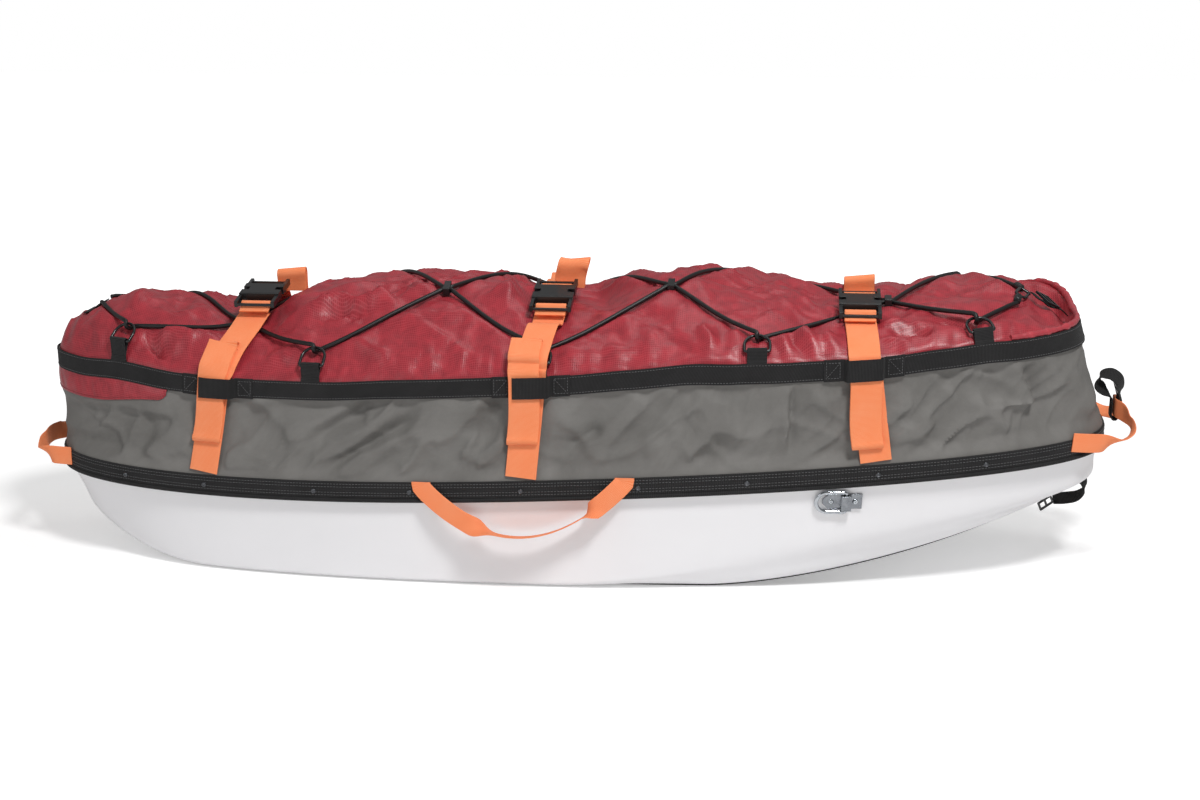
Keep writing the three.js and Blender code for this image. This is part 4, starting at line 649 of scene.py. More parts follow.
# The wall, or a plan's outline, at places along the sled: side is -1 on the right. Gives the place,
# the direction along the wall and the one out of it.
def wallAt(x, side, share=1.0, offset=0.0, plan=None):
    loop = wallPlace(side * fineAngles, share, offset)
    if plan:
        loop = point(*planPlace(plan, side * fineAngles, offset), 0)
    loop = loop[::-1]
    place, ahead, behind = (readAt(np.add(x, step), loop[:, 0], loop) for step in (0, 2, -2))
    along = unit(ahead - behind)
    out = unit(np.stack([-along[..., 1] * side, along[..., 0] * side, 0 * along[..., 0]], -1))
    return place, along, out


# Cover over the load: crown over the hem, eased along the sled and rounded across it.
cover = {'rise': 103, 'round': 2.4, 'tuck': 14, 'spineInset': 60, 'stations': 600, 'rings': 52,
         'grow': 0.03, 'pressure': 0.7, 'cap': 10}
hemThick, skirtThick, clothGap = 2, 1.2, 0.6
skirtFace = -hemThick - seatGap
coverFace = skirtFace - skirtThick - clothGap
crownShares = [
    [-1.01, 0.02], [-0.985, 0.24], [-0.95, 0.44], [-0.9, 0.62], [-0.82, 0.72], [-0.73, 0.7], [-0.64, 0.52],
    [-0.57, 0.64], [-0.47, 0.92], [-0.33, 0.98], [-0.23, 1], [-0.14, 0.88], [-0.04, 0.66], [0.04, 0.66],
    [0.13, 0.78], [0.21, 0.81], [0.29, 0.71], [0.37, 0.6], [0.47, 0.42], [0.55, 0.38], [0.63, 0.41],
    [0.7, 0.42], [0.78, 0.41], [0.83, 0.34], [0.88, 0.12], [0.92, -0.12], [0.937, 0],
]


# Half width of the cover's edge: half (1 - |x / reach|^n)^(1/n).
def coverHalf(x):
    ahead = np.asarray(x) >= 0
    reach = np.where(ahead, hemPlan['nose'], hemPlan['stern']) + coverFace
    power = np.where(ahead, hemPlan['noseRound'], hemPlan['sternRound'])
    return (hemPlan['half'] + coverFace) * np.maximum(1 - np.abs(x / reach) ** power, 0) ** (1 / power)


# Crown: the hem's height and rise x share along the sled x (1 - |y / half width|^round).
def coverHeight(x, y):
    half = coverHalf(x)
    share = np.where(half > fineGap, np.minimum(np.abs(y) / np.maximum(half, 1e-6), 1), 1)
    crown = cover['rise'] * tableValue(crownShares, x / halfLength)
    return hemTop(x, y) + crown * (1 - share ** cover['round'])


# Direction square to the cover: (-slope along x, -slope along y, 1) as a unit vector, with each
# slope taken between points one step to either side.
def coverNormal(x, y):
    step = 4
    slopeX = (coverHeight(x + step, y) - coverHeight(x - step, y)) / (2 * step)
    slopeY = (coverHeight(x, y + step) - coverHeight(x, y - step)) / (2 * step)
    return unit(point(-slopeX, -slopeY, 1))


# A place over the cover, at a lift above the highest point within a spread along the sled.
def overCover(x, y, lift, spread=0):
    x, y = np.asarray(x, float), np.asarray(y, float)
    highest = np.max([coverHeight(x + dx * spread, y) for dx in (-1, -0.5, 0, 0.5, 1)], axis=0)
    return point(x, y, highest) + coverNormal(x, y) * np.asarray(lift, float)[..., None]


# Rings on the cover's edge, links along its middle and the cords through both, as in the frame.
ringShares = [-0.841, -0.45, -0.031, 0.358, 0.754]
ring = {'half': 16, 'length': 28, 'wire': 2, 'start': 11, 'lift': 9.8, 'tab': 25, 'tabThick': 1.6}
linkShares = [[-0.604, -0.37], [-0.22, -0.4], [0.197, -0.4], [0.592, -0.31]]
link = {'split': 5, 'long': 9, 'rise': 7}
cord = {'radius': 3, 'rest': 4, 'step': 21, 'clear': 22, 'fall': 3, 'power': 1.8}
rearTab = [-0.912, 0.09]
sleeveSpots = {-1: [0.8184, -0.377], 1: [0.8278, -0.01]}


# Where a ring lies: its bar, the way its bow reaches, and the hem's place and directions beside it.
def ringSeat(share, side):
    place, along, out = wallAt(share * halfLength, side, 1, -hemThick)
    bar, end = (overCover(place[0] - out[0] * t, place[1] - out[1] * t, ring['lift'], ring['half'])
                for t in (ring['start'], ring['start'] + ring['length']))
    reach = unit(end - bar)
    up = unit(np.cross(reach, along))
    up = up if up[2] > 0 else -up
    return {'bar': bar, 'reach': reach, 'along': along, 'out': out, 'place': place, 'up': up}


# Directions of a piece on the cover: wide along the sled, up across it, face away from the cover.
def seatOn(x, y, origin):
    face = unit(coverNormal(x, y) * [0, 1, 1])
    wide = np.array([1.0, 0, 0])
    return {'origin': origin, 'wide': wide, 'up': np.cross(face, wide), 'face': face}


# Seat of a link at shares of the half length and half width, lifted off the cover by its rise.
def linkSeat(share):
    x, y = share[0] * halfLength, share[1] * halfWidth
    return seatOn(x, y, overCover(x, y, link['rise'], link['long'] / 2))


# A place from a seat's own directions: origin + w times wide + u times up + n times face.
def onSeat(seat, w, u, n):
    return seat['origin'] + seat['wide'] * w + seat['up'] * u + seat['face'] * n


# The cord's way round a ring's bow: over the wire, round it and back under it.
def wrapRing(seat, towards):
    around = (cord['radius'] + ring['wire'] + seatGap) / math.cos(math.pi / 8) + seatGap
    bow = seat['bar'] + seat['reach'] * ring['length']
    turn = np.radians([90, 45, 0, -45, -90])
    places = (bow - seat['reach'] * around * np.cos(turn)[:, None]
              + seat['up'] * around * np.sin(turn)[:, None])
    places[:, 0] += (np.arange(5) - 2) * 2 * fineGap
    ends = []
    for (x, y), start, fall in zip(towards, (places[0], places[-1]), (cord['fall'], 0)):
        way = unit(np.array([x - start[0], y - start[1], 0]))
        way = unit(way - seat['up'] * (way @ seat['up']))
        ends.append(start + way * cord['clear'] - seat['up'] * fall)
    return [ends[0], *places, ends[1]]


# Places on the cover between two spots of [x, y, lift], low in the middle of the way.
def layCord(start, end):
    run = math.hypot(end[0] - start[0], end[1] - start[1])
    count = max(int(round(run / cord['step'])), 1)
    share = np.arange(1, count) / count
    x, y, lift = (low + (high - low) * share for low, high in zip(start, end))
    rest = cord['rest'] + (lift - cord['rest']) * np.abs(1 - 2 * share) ** cord['power']
    return list(overCover(x, y, np.maximum(rest, cord['rest'])))


# A cord's whole way: from the stern tab round each ring and through each link to its sleeve.
def cordPath(side):
    seats = [linkSeat(share) for share in linkShares]
    start = [rearTab[0] * halfLength, side * rearTab[1] * halfWidth, cord['rest'] + fineGap]
    end = [sleeveSpots[side][0] * halfLength, sleeveSpots[side][1] * halfWidth, cord['rest'] + fineGap]
    stops = [start, *(onSeat(seat, 0, side * link['split'], 0) for seat in seats), end]
    places, last = [overCover(*start)], start
    ringSeats = [ringSeat(share, side) for share in ringShares]
    ringLift = ring['lift'] + cord['radius'] + ring['wire'] - cord['fall']
    for i, seat in enumerate(ringSeats):
        wrap = wrapRing(seat, [stops[i][:2], stops[i + 1][:2]])
        places += layCord(last, [*wrap[0][:2], ringLift]) + wrap
        last = [*wrap[-1][:2], cord['rest']]
        if i < len(seats):
            enter, leave = (onSeat(seats[i], w * link['long'], side * link['split'], 0) for w in (-1, 1))
            places += layCord(last, [*enter[:2], link['rise']]) + [enter, leave]
            last = [*leave[:2], link['rise']]
    places += layCord(last, end) + [overCover(*end)]
    holds = [seat['bar'] + seat['reach'] * ring['length'] for seat in ringSeats] + places[:1] + places[-1:]
    return drawnTaut(smoothPath(places, 2.5), np.array(holds + [seat['origin'] for seat in seats]))


# A path drawn taut: neighbours pull each place to their middle, away from the places that hold it.
def drawnTaut(path, holds):
    reach, rounds = 16, 400
    away = np.linalg.norm(path[:, None] - holds[None], axis=-1).min(1)
    free = 0.5 * ease(reach * 0.5, reach, away)[1:-1, None]
    for _ in range(rounds):
        path[1:-1] += free * ((path[:-2] + path[2:]) / 2 - path[1:-1])
    return path


sides = {'right': -1, 'left': 1}
cordPaths = {name: cordPath(side) for name, side in sides.items()}
for name, path in cordPaths.items():
    piece = addPiece(f'elasticCord.{name}', tube(path, cord['radius'], 14), cordBraid,
                     [f'bungee_{name}'])

# Load straps, as in the frame: places along the sled in shares of the half length.
strapSize = {'width': 40, 'thick': 1.8, 'lift': 8.5}
strapProfile = webbingProfile(strapSize['width'], strapSize['thick'])
straps = [
    {'name': 'rear', 'foot': -0.66, 'hem': -0.631, 'top': -0.583, 'across': -0.235, 'rise': 15.5, 'bump': 0},
    {'name': 'mid', 'foot': -0.062, 'hem': -0.042, 'top': -0.02, 'across': -0.41, 'rise': 13.5, 'bump': 1},
    {'name': 'front', 'foot': 0.572, 'hem': 0.545, 'top': 0.538, 'across': -0.45, 'rise': 9.5, 'bump': 0},
]
wallSteps = [[0.035, 0], [0.25, 0], [0.45, 0.1], [0.64, 0.6], [0.77, 1], [0.88, 1], [0.985, 1]]
climbs = {
    'plain': [[0.12, 0.5], [0.36, 0.8], [0.75, 1], [1.3, 1]],
    'near': [[0.1, 1.3], [0.24, 2.2], [0.45, 2.6], [1.42, 2.6], [1.85, 1.1]],
    'far': [[0.1, 1.3], [0.24, 2.2], [0.45, 2.6], [2.1, 2.8], [2.9, 1.2]],
}
strapFace = skirtFace + 2 * fineGap + strapSize['thick'] / 2
strapHemFace = 3 * fineGap + strapSize['thick'] / 2
tabStack = 2 * (ring['tabThick'] + 5 * fineGap)
buckle = {'half': 27, 'rail': 4.6, 'barWide': 4, 'barThick': 3.2, 'barLow': 4.8,
          'plugEnd': -45, 'plugBar': -32, 'plugRoot': -20, 'socketBar': 32, 'frameEnd': 45}


# A strap's way up the wall and over the cover: rows of place, width direction and outward direction.
def strapRoute(strap, side, endY):
    rows = []
    for share, outShare in wallSteps:
        x = halfLength * (strap['foot'] + (strap['hem'] - strap['foot']) * share)
        place, along, out = wallAt(x, side, share)
        place = place + out * (strapFace + (strapHemFace - strapFace) * outShare)
        rows.append([*place, *along, *out])
    hemX, topX = strap['hem'] * halfLength, strap['top'] * halfLength
    place, along, out = wallAt(hemX, side, 1)
    corner = place + out * strapHemFace * 0.8 + [0, 0, strapHemFace * 0.8 + strap['bump'] * tabStack]
    rows.append([*corner, *along, *out])
    edge = abs(place[1])
    span = edge - side * endY
    climb = climbs[('near' if side < 0 else 'far') if strap['bump'] else 'plain']
    width, lift = strapSize['width'], strapSize['lift']
    last = climb[-1][0] * width
    steps = [(w * width, h * lift) for w, h in climb if w * width < span]
    steps += [(last + (span - last) * k / 5, lift) for k in range(1, 6) if last < span]
    for distance, rise in steps:
        x = hemX + (topX - hemX) * distance / span
        high = rise + (strap['rise'] - rise) * ease(last, span, distance)
        y = side * (edge - distance)
        up = unit(coverNormal(x, y) * [0, 1, 1])
        place = overCover(x, y, 0, width / 2) + up * (high + strapSize['thick'] / 2)
        rows.append([*place, 1, 0, 0, *up])
    return rows


# Seat of a buckle: on the cover at its strap's top, then moved out along its face by the rise.
def buckleSeat(strap):
    x, y = strap['top'] * halfLength, strap['across'] * halfWidth
    seat = seatOn(x, y, overCover(x, y, 0, buckle['half']))
    seat['origin'] = seat['origin'] + seat['face'] * strap['rise']
    return seat


# Webbing turned round a buckle's inner bar: [along the seat, over the seat].
def webbingTurn(sign, bar, end):
    thick = strapSize['thick']
    under = buckle['barLow'] - fineGap - thick / 2
    over = buckle['barLow'] + buckle['barThick'] + fineGap + thick / 2
    reach = buckle['barWide'] / 2 + thick
    middle = (under + over + thick) / 2
    return [[end + sign * buckle['barWide'], under - thick], [end - sign * buckle['barWide'] / 2, under],
            [bar + sign * (reach + buckle['barWide']), under], [bar + sign * reach, middle],
            [bar + sign * buckle['barWide'] / 2, over], [bar - sign * buckle['barWide'] / 2, over],
            [bar - sign * reach, middle], [bar - sign * (reach + thick / 2), under]]


webWidth = min(strapSize['width'], 2 * (buckle['half'] - buckle['rail'] - fineGap))
pressed = []  # rows of [x, y, underside] that hold the cover down
for strap in straps:
    name = strap['name']
    seat = strap['seat'] = buckleSeat(strap)
    turn = webbingTurn(-1, buckle['plugBar'], buckle['plugEnd'])
    turn = smoothPath([onSeat(seat, 0, u, n) for u, n in turn], 1.2)
    addPiece(f'plugWebbing.{name}', carried(turn, seat['wide'],
             webbingProfile(webWidth, strapSize['thick'])), orangeWebbing, [f'plug_webbing_{name}'],
             f'plug_{name}')
    near = smoothPath(strapRoute(strap, -1, seat['origin'][1] + buckle['plugRoot'] - buckle['barWide']), 3)
    strap['near'] = near
    addPiece(f'rightStrap.{name}', carried(near[:, :3], near[:, 3:6], strapProfile), orangeWebbing,
             [f'strap_right_{name}'])
    farRows = strapRoute(strap, 1, seat['origin'][1] + buckle['frameEnd'] + 2 * buckle['barWide'])
    strap['farTop'] = np.array(farRows[-1][:3])
    farRows += [[*onSeat(seat, 0, u, n), 1, 0, 0, *seat['face']]
                for u, n in webbingTurn(1, buckle['socketBar'], buckle['frameEnd'])]
    far = smoothPath(farRows, 3)
    for route in (near, far):
        for shift in np.linspace(-0.5, 0.5, 9):
            across = route[:, 3:6] * shift * strapSize['width']
            under = route[:, :3] + across - route[:, 6:9] * strapSize['thick']
            pressed.append(under[np.abs(route[:, 8]) > 0.5])
    strap['farPath'] = far
for path in cordPaths.values():
    pressed.append(path - [0, 0, cord['radius'] + seatGap])

# Standing hairpins of the left straps' spare webbing behind the buckles: [along the strap, height].
loopShares = [
    [0.05, 0.03], [0.02, 0.4], [-0.08, 0.8], [0.02, 1], [0.2, 0.98], [0.3, 0.75], [0.32, 0.35],
    [0.36, 0.03],
]
standing = {'rear': {'height': 31, 'shift': 27, 'twist': 0}, 'mid': {'height': 38, 'shift': 14, 'twist': 8},
            'front': {'height': 26, 'shift': 0, 'twist': 0}}
for strap in straps:
    name = strap['name']
    size = standing[name]
    low = strapSize['thick'] - fineGap - loopShares[0][1] * size['height']
    foot = strap['farTop'] + [size['shift'], 0, low]
    places = [foot + [size['twist'] * up ** 2, along * size['height'], up * size['height']]
              for along, up in loopShares]
    path = smoothPath(places, 1.5)
    hairpin = carried(path, np.array([1.0, 0, 0.1]), strapProfile)
    strip = carried(strap['farPath'][:, :3], strap['farPath'][:, 3:6], strapProfile)
    addPiece(f'leftStrap.{name}', joined([strip, hairpin], 50), orangeWebbing,
             [f'strap_left_{name}'])

# Strap tails: the loose end folded in two layers on its strap, tucked under the keeper.
tails = {'rear': {'from': 0.33, 'to': 1.29, 'lowShift': 0, 'highShift': -9},
         'mid': {'from': 0.36, 'to': 1.36, 'lowShift': -2, 'highShift': -11},
         'front': {'from': 0.16, 'to': 0.96, 'lowShift': -9, 'highShift': 0}}
tailFold = {'layer': 2.4, 'bulge': 3.2, 'reach': 9, 'turn': 2.6}
for strap in straps:
    name = strap['name']
    size, route = tails[name], strap['near']
    length = lengths(route[:, :3])
    at = np.arange(size['from'] * skirtDepth, size['to'] * skirtDepth, 2.0)
    rows = readAt(at, length, route)
    share = (at - at[0]) / (at[-1] - at[0])
    ends = np.exp(-(at - at[0]) / tailFold['reach']) + np.exp(-(at[-1] - at) / tailFold['reach'])
    shift = (size['lowShift'] + (size['highShift'] - size['lowShift']) * ease(0.1, 1, share))[:, None]
    depth = (2 * tailFold['layer'] + tailFold['bulge'] * ends)[:, None]
    outer = rows[:, :3] + rows[:, 6:9] * depth + rows[:, 3:6] * shift
    inner = rows[:, :3] + rows[:, 6:9] * tailFold['layer'] + rows[:, 3:6] * shift
    run = unit(np.gradient(rows[:, :3], axis=0))
    middle = (outer + inner) / 2
    start, end = middle[0] - run[0] * tailFold['turn'], middle[-1] + run[-1] * tailFold['turn']
    path = np.concatenate([[start], outer, [end], inner[::-1]])
    hint = np.concatenate([rows[:1, 3:6], rows[:, 3:6], rows[-1:, 3:6], rows[::-1, 3:6]])
    closed = smoothPath(np.concatenate([path, hint], 1)[::2], 1.6, True)
    addPiece(f'strapTail.{name}', carried(closed[:, :3], closed[:, 3:6], strapProfile, True), orangeWebbing,
             [f'strap_tail_{name}'])
for strap in straps:
    name = strap['name']
    roundedCopy(f'bucklePlug.{name}', f'buckle_plug_{name}', blackAcetal, 0.7, f'plug_{name}')
    roundedCopy(f'buckleSocket.{name}', f'buckle_socket_{name}', blackAcetal, 0.8)
print('straps and buckles made')

# Tub: rings of the skin from the keel to the rim, smoothed between them; the inside follows 4 mm in.
hull = {'wall': 4, 'flare': 3, 'bulge': 7, 'band': 21.5, 'bead': 6, 'bandThick': 2, 'beadThick': 4,
        'reveal': 1.5, 'floorShares': (0.2, 0.4, 0.75, 1)}
keel = {'nose': 102, 'noseFrom': 190, 'noseRun': 450, 'nosePower': 1.58,
        'stern': 43, 'sternFrom': 490, 'sternRun': 150, 'sternPower': 2.2}
chine = {'height': 14, 'from': 50, 'blend': 60, 'slope': 0.178, 'stern': 38, 'sternFrom': 500}


# Rise at each end: lift x (way past its start / run)^power.
def keelHeight(x):
    nose = keel['nose'] * (np.maximum(x - keel['noseFrom'], 0) / keel['noseRun']) ** keel['nosePower']
    stern = keel['stern'] * (np.maximum(-x - keel['sternFrom'], 0) / keel['sternRun']) ** keel['sternPower']
    return heights['base'] + nose + stern


# Level to the stern and a straight climb to the nose, joined by a hyperbola, with a rise at the stern.
def chineHeight(x):
    run = x - chine['from']
    climb = 0.5 * (run + np.hypot(run, chine['blend'])) * chine['slope']
    stern = ease(chine['sternFrom'], chinePlan['stern'], -x) * chine['stern']
    return heights['base'] + chine['height'] + climb + stern


# Rings of the hull's skin, all moved inward by one distance. Outward from the middle: shares of the
# floor on the rise of the keel, a bulge midway to the chine, the chine, midway up the wall, the
# foot of the wall's flare under the band, and the wall behind the band.
def hullRings(inward, angle):
    floorX, floorY = planPlace(bottomPlan, angle, -inward)
    chineX, chineY = planPlace(chinePlan, angle, -inward)
    footX, footY = planPlace(rimPlan, angle, -hull['bandThick'] - hull['beadThick'] - hull['flare'] - inward)
    rimX, rimY = planPlace(rimPlan, angle, -skirtThick - hull['bandThick'] - 2 * seatGap - inward)
    rings = [point(0 * floorX, 0 * floorY, heights['base'] + inward)]
    for share in hull['floorShares']:
        rings.append(point(floorX * share, floorY * share, keelHeight(floorX * share) + inward))
    bulge = hull['bulge'] * (1 - ease(0, chinePlan['nose'] / 2, floorX))
    rings.append(point((floorX + chineX) / 2, (floorY + chineY) / 2 + np.sign(floorY) * bulge,
                       (keelHeight(floorX) + chineHeight(chineX)) / 2 - bulge + inward))
    rings.append(point(chineX, chineY, chineHeight(chineX) + inward))
    wallLow = rimTop(footX) - hull['band'] - hull['bead']
    rings.append(point((chineX + footX) / 2, (chineY + footY) / 2, (chineHeight(chineX) + wallLow) / 2))
    rings.append(point(footX, footY, wallLow - hull['flare']))
    rings.append(point(rimX, rimY, rimTop(rimX) - hull['band']))
    rings.append(point(rimX, rimY, rimTop(rimX) - hull['reveal']))
    return np.array(rings)


angles = evenAngles(480)
skin = hullRings(0, angles)
lining = hullRings(hull['wall'], angles)
outside = np.concatenate([smoothRows(skin[:9], 6), skin[9:]])
inside = np.concatenate([smoothRows(lining[:9], 3), lining[9:]])
shell = np.concatenate([outside, inside[::-1]])
addPiece('tubShell', gridMesh(shell, None, False, True, merge=True, crease=60), whiteShell, ['hull'])

# Runners: flat strips with eased edges along both edges of the flat bottom.
runner = {'width': 20, 'inset': 4, 'thick': 3, 'front': 0.93, 'rear': 0.9}
x = np.linspace(-bottomPlan['stern'] * runner['rear'], bottomPlan['nose'] * runner['front'], 160)
reach = np.where(x >= 0, bottomPlan['nose'], bottomPlan['stern'])
power = np.where(x >= 0, bottomPlan['noseRound'], bottomPlan['sternRound'])
bottomHalf = bottomPlan['half'] * (1 - np.abs(x / reach) ** power) ** (1 / power)
half, low, soft = runner['width'] / 2, -runner['thick'], 0.8
cut = soft * 0.3
section = [[-half, 0], [half, 0], [half, low + soft], [half - cut, low + cut], [half - soft, low],
           [soft - half, low], [cut - half, low + cut], [-half, low + soft]]
for name, side in sides.items():
    middle = point(x, side * (bottomHalf - runner['inset'] - half), keelHeight(x) - seatGap)
    places = middle[:, None] + np.array([[0, *corner] for corner in section])
    addPiece(f'runner.{name}', gridMesh(places, None, False, True, True, 45), runnerPlastic,
             [f'runner_{name}'])

# Rim band: ribbed webbing clamped round the rim over a round bead. Profile of [out, down].
band = {'ribs': 6, 'ribDeep': 0.45, 'beadRadius': 3.1, 'beadOut': -1.7}
down = np.linspace(0.4, hull['band'] - 0.4, 49)
ribs = band['ribDeep'] * (np.abs(np.sin(math.pi * band['ribs'] * down / hull['band'])) ** 0.6 - 1)
turn = np.radians(np.linspace(100, -100, 13))
bead = np.stack([band['beadOut'] + band['beadRadius'] * np.cos(turn),
                 hull['band'] + band['beadRadius'] - band['beadRadius'] * np.sin(turn)], -1)
profile = np.concatenate([[[-0.8, 0.0]], np.stack([ribs, down], -1), bead,
                          [[-hull['bandThick'], hull['band']], [-hull['bandThick'], 0]]])
angles = evenAngles(720)
bandX, bandY = planPlace(rimPlan, angles[:, None], profile[None, :, 0])
places = point(bandX, bandY, rimTop(bandX) - profile[None, :, 1])
uv = clothUv(loopLengths(places[:, 0]), loopLengths(profile))
addPiece('rimBand', gridMesh(places, uv, True, True, crease=60), bandWebbing, ['rim_band'])


# A line round the wall at a height under the rim's top, with its outward directions.
def rimLine(down, offset):
    x, y = planPlace(rimPlan, np.append(angles, 2 * math.pi), offset)
    path = point(x, y, rimTop(x) - down)
    run = unit(np.gradient(path, axis=0))
    return path, unit(np.cross(run, [0, 0, 1.0]))


rimStitches = stitchMesh([rimLine(depth, 0.15) for depth in (3.2, 7.0, 14.4, 18.0)], (4.2, 2.9, 0.42))
addPiece('rimStitches', rimStitches, blackThread)

# Rivets through the band, ten on each side.
rivetPlaces = [-586, -469, -317, -189, -44, 107, 245, 410, 546, 669]
rivetHead = [
    [0.01, 0.1], [1.2, 0.15], [1.4, 0.9], [2.0, 1.3], [2.7, 1.1], [3.2, 0.5], [3.3, 0], [3.2, -0.6],
    [0.01, -0.6],
]
places, normals = [], []
for side in (-1, 1):
    place, along, out = wallAt(np.array(rivetPlaces, float), side, plan=rimPlan)
    place[:, 2] = rimTop(place[:, 0]) - 0.62 * hull['band']
    places += list(place)
    normals += list(out)
addPiece('rimRivets', turned(places, normals, rivetHead), rivetSteel)
print('tub made')

# Skirt: the wall's cloth with slanting drag folds between the straps, held flat at hem and band.
skirt = {'stations': 900, 'rows': 44, 'tuck': 16, 'deep': 13, 'hem': 25}
angles = evenAngles(skirt['stations'])
share = np.linspace(0, 1 - 1.5 / skirtDepth, skirt['rows'])
wall = wallPlace(angles[:, None], share[None], skirtFace)
around = loopLengths(wall[:, 0])
height = share * skirtDepth
u, v = np.meshgrid(around[:-1], height, indexing='ij')
side = np.where(wall[..., 1] > 0, 1, -1)
x = wall[..., 0]
drag = creaseHeights(x, v, [[32, 150, 34, 5, 2.2, 0.9], [-38, 120, 30, 11, 2.4, 0.45]])
drag += creaseHeights(x * 1.02 + 40 * side, v, [[60, 90, 22, 23, 3, 0.35]])
soft = lattice(x, v + 300 * side, 70, 31) * 0.5 + lattice(x, v + 300 * side, 28, 37) * 0.16
held = ease(0.0, 0.16, share)[None] * (1 - ease(0.72, 0.86, share))[None]
strapHold = np.ones_like(x)
for strap in straps:
    middle = halfLength * (strap['foot'] + (strap['hem'] - strap['foot']) * share)[None]
    strapHold *= ease(18, 45, np.abs(x - middle))
underPanel = ease(-480, -530, x) * ease(0.48, 0.58, share)[None]
calm = (0.25 + 0.75 * strapHold) * (1 - underPanel) * (1 - 0.75 * ease(620, 700, np.abs(x)))
nearFolds = [  # [along the sled, height over the rim] of both ends in mm, as in the photograph
    [-205, 92, -304, 36, 7, 11], [-190, 80, -290, 24, -6, 9], [-165, 76, -255, 32, 6, 9],
    [-246, 40, -280, 8, 5, 8], [-262, 104, -350, 58, 6, 12], [-240, 108, -330, 52, -5, 9],
    [-433, 32, -380, 20, 5, 7], [-436, 9, -411, 44, 5, 7], [-517, 95, -486, 56, 5, 9],
    [-564, 18, -489, 46, 5, 10], [291, 104, 295, 20, 3.5, 4], [301, 100, 303, 30, -3, 5],
    [409, 52, 450, 74, 5, 8], [425, 29, 480, 44, 5, 9], [574, 112, 607, 56, 6, 10],
    [590, 104, 622, 50, -5, 8], [647, 92, 688, 26, 5, 9], [-88, 110, -150, 55, 6, 9],
    [-104, 60, -120, 30, 4, 6], [-70, 52, -100, 22, 5, 6], [8, 82, 62, 28, 5, 9], [20, 46, 60, 62, -5, 8],
    [109, 98, 59, 49, 5, 11], [185, 99, 240, 38, 5, 10], [-404, 101, -335, 128, 5, 8],
    [528, 69, 578, 24, 5, 9], [222, 92, 173, 26, 4, 10], [120, 30, 170, 60, 4, 9],
]
foldGain = [1, 1, 1, 1, 2.2, 1.3]  # folds are made higher and wider than they were read, to show
shown = np.where(side < 0, foldHeights(x, v, np.array(nearFolds) * foldGain), 0)
fold = (drag * 0.7 - 0.8 + soft * 0.8) * skirt['deep'] * held * calm - 1.2 * held * (1 - strapHold)
fold = np.minimum(fold + (shown - 1.5) * held * (1 - underPanel), 3)
outer = wallPlace(angles[:, None], share[None], skirtFace + fold)
foot = outer[:, :1] - [0, 0, skirt['tuck']]
cloth = np.concatenate([foot, outer], axis=1)
uv = clothUv(around, np.append(-skirt['tuck'], height))
skirtMesh = gridMesh(cloth, uv, True, False, crease=80)
skirtPiece = addPiece('skirtCloth', skirtMesh, greyCloth, ['skirt'])
thicken(skirtPiece, 1.0)

# Stern panel: red cloth low on the skirt round the stern, deeper towards the stern, with a round corner.
panel = {'front': -516, 'deepFront': 16, 'deepRear': 30, 'corner': 14}
base = evenAngles(1400)
loop = wallPlace(base, 1, 0)
angles = np.sort(np.mod(base, 2 * math.pi)[loop[:, 0] < panel['front']])
share = np.linspace(0, 1, 26)
top = 1 - (skirt['hem'] - 1.5) / skirtDepth
frontness = -np.minimum(wallPlace(angles, 1, 0)[:, 0] - panel['front'], 0)
corner = np.sqrt(np.maximum(1 - (1 - np.minimum(frontness / panel['corner'], 1)) ** 2, 0))
deep = panel['deepFront'] + (panel['deepRear'] - panel['deepFront']) * ease(0, 110, frontness)
deep = deep * (0.25 + 0.75 * corner)
low = top - (deep + 1.5) / skirtDepth
level = low[:, None] + (top - low)[:, None] * share[None]
wave = creaseHeights(frontness[:, None] + 0 * level, level * skirtDepth, [[75, 60, 9, 71, 2, 1.3]])
places = wallPlace(angles[:, None], level, skirtFace + 1.5 + wave * np.sin(math.pi * share)[None])
around = lengths(places[:, 0])
uv = clothUv(around, level * skirtDepth)
panelPiece = addPiece('sternPanel', gridMesh(places, uv, crease=80), redRipstop, ['stern_panel'])
thicken(panelPiece, 0.8)
line = wallPlace(angles, low + 3.0 / skirtDepth, skirtFace + 2.1)
outs = unit(line * [0.3, 1, 0])
addPiece('sternPanelStitches', stitchMesh([(line, outs)], (3.4, 2.3, 0.35)), redThread)
print('skirt made')

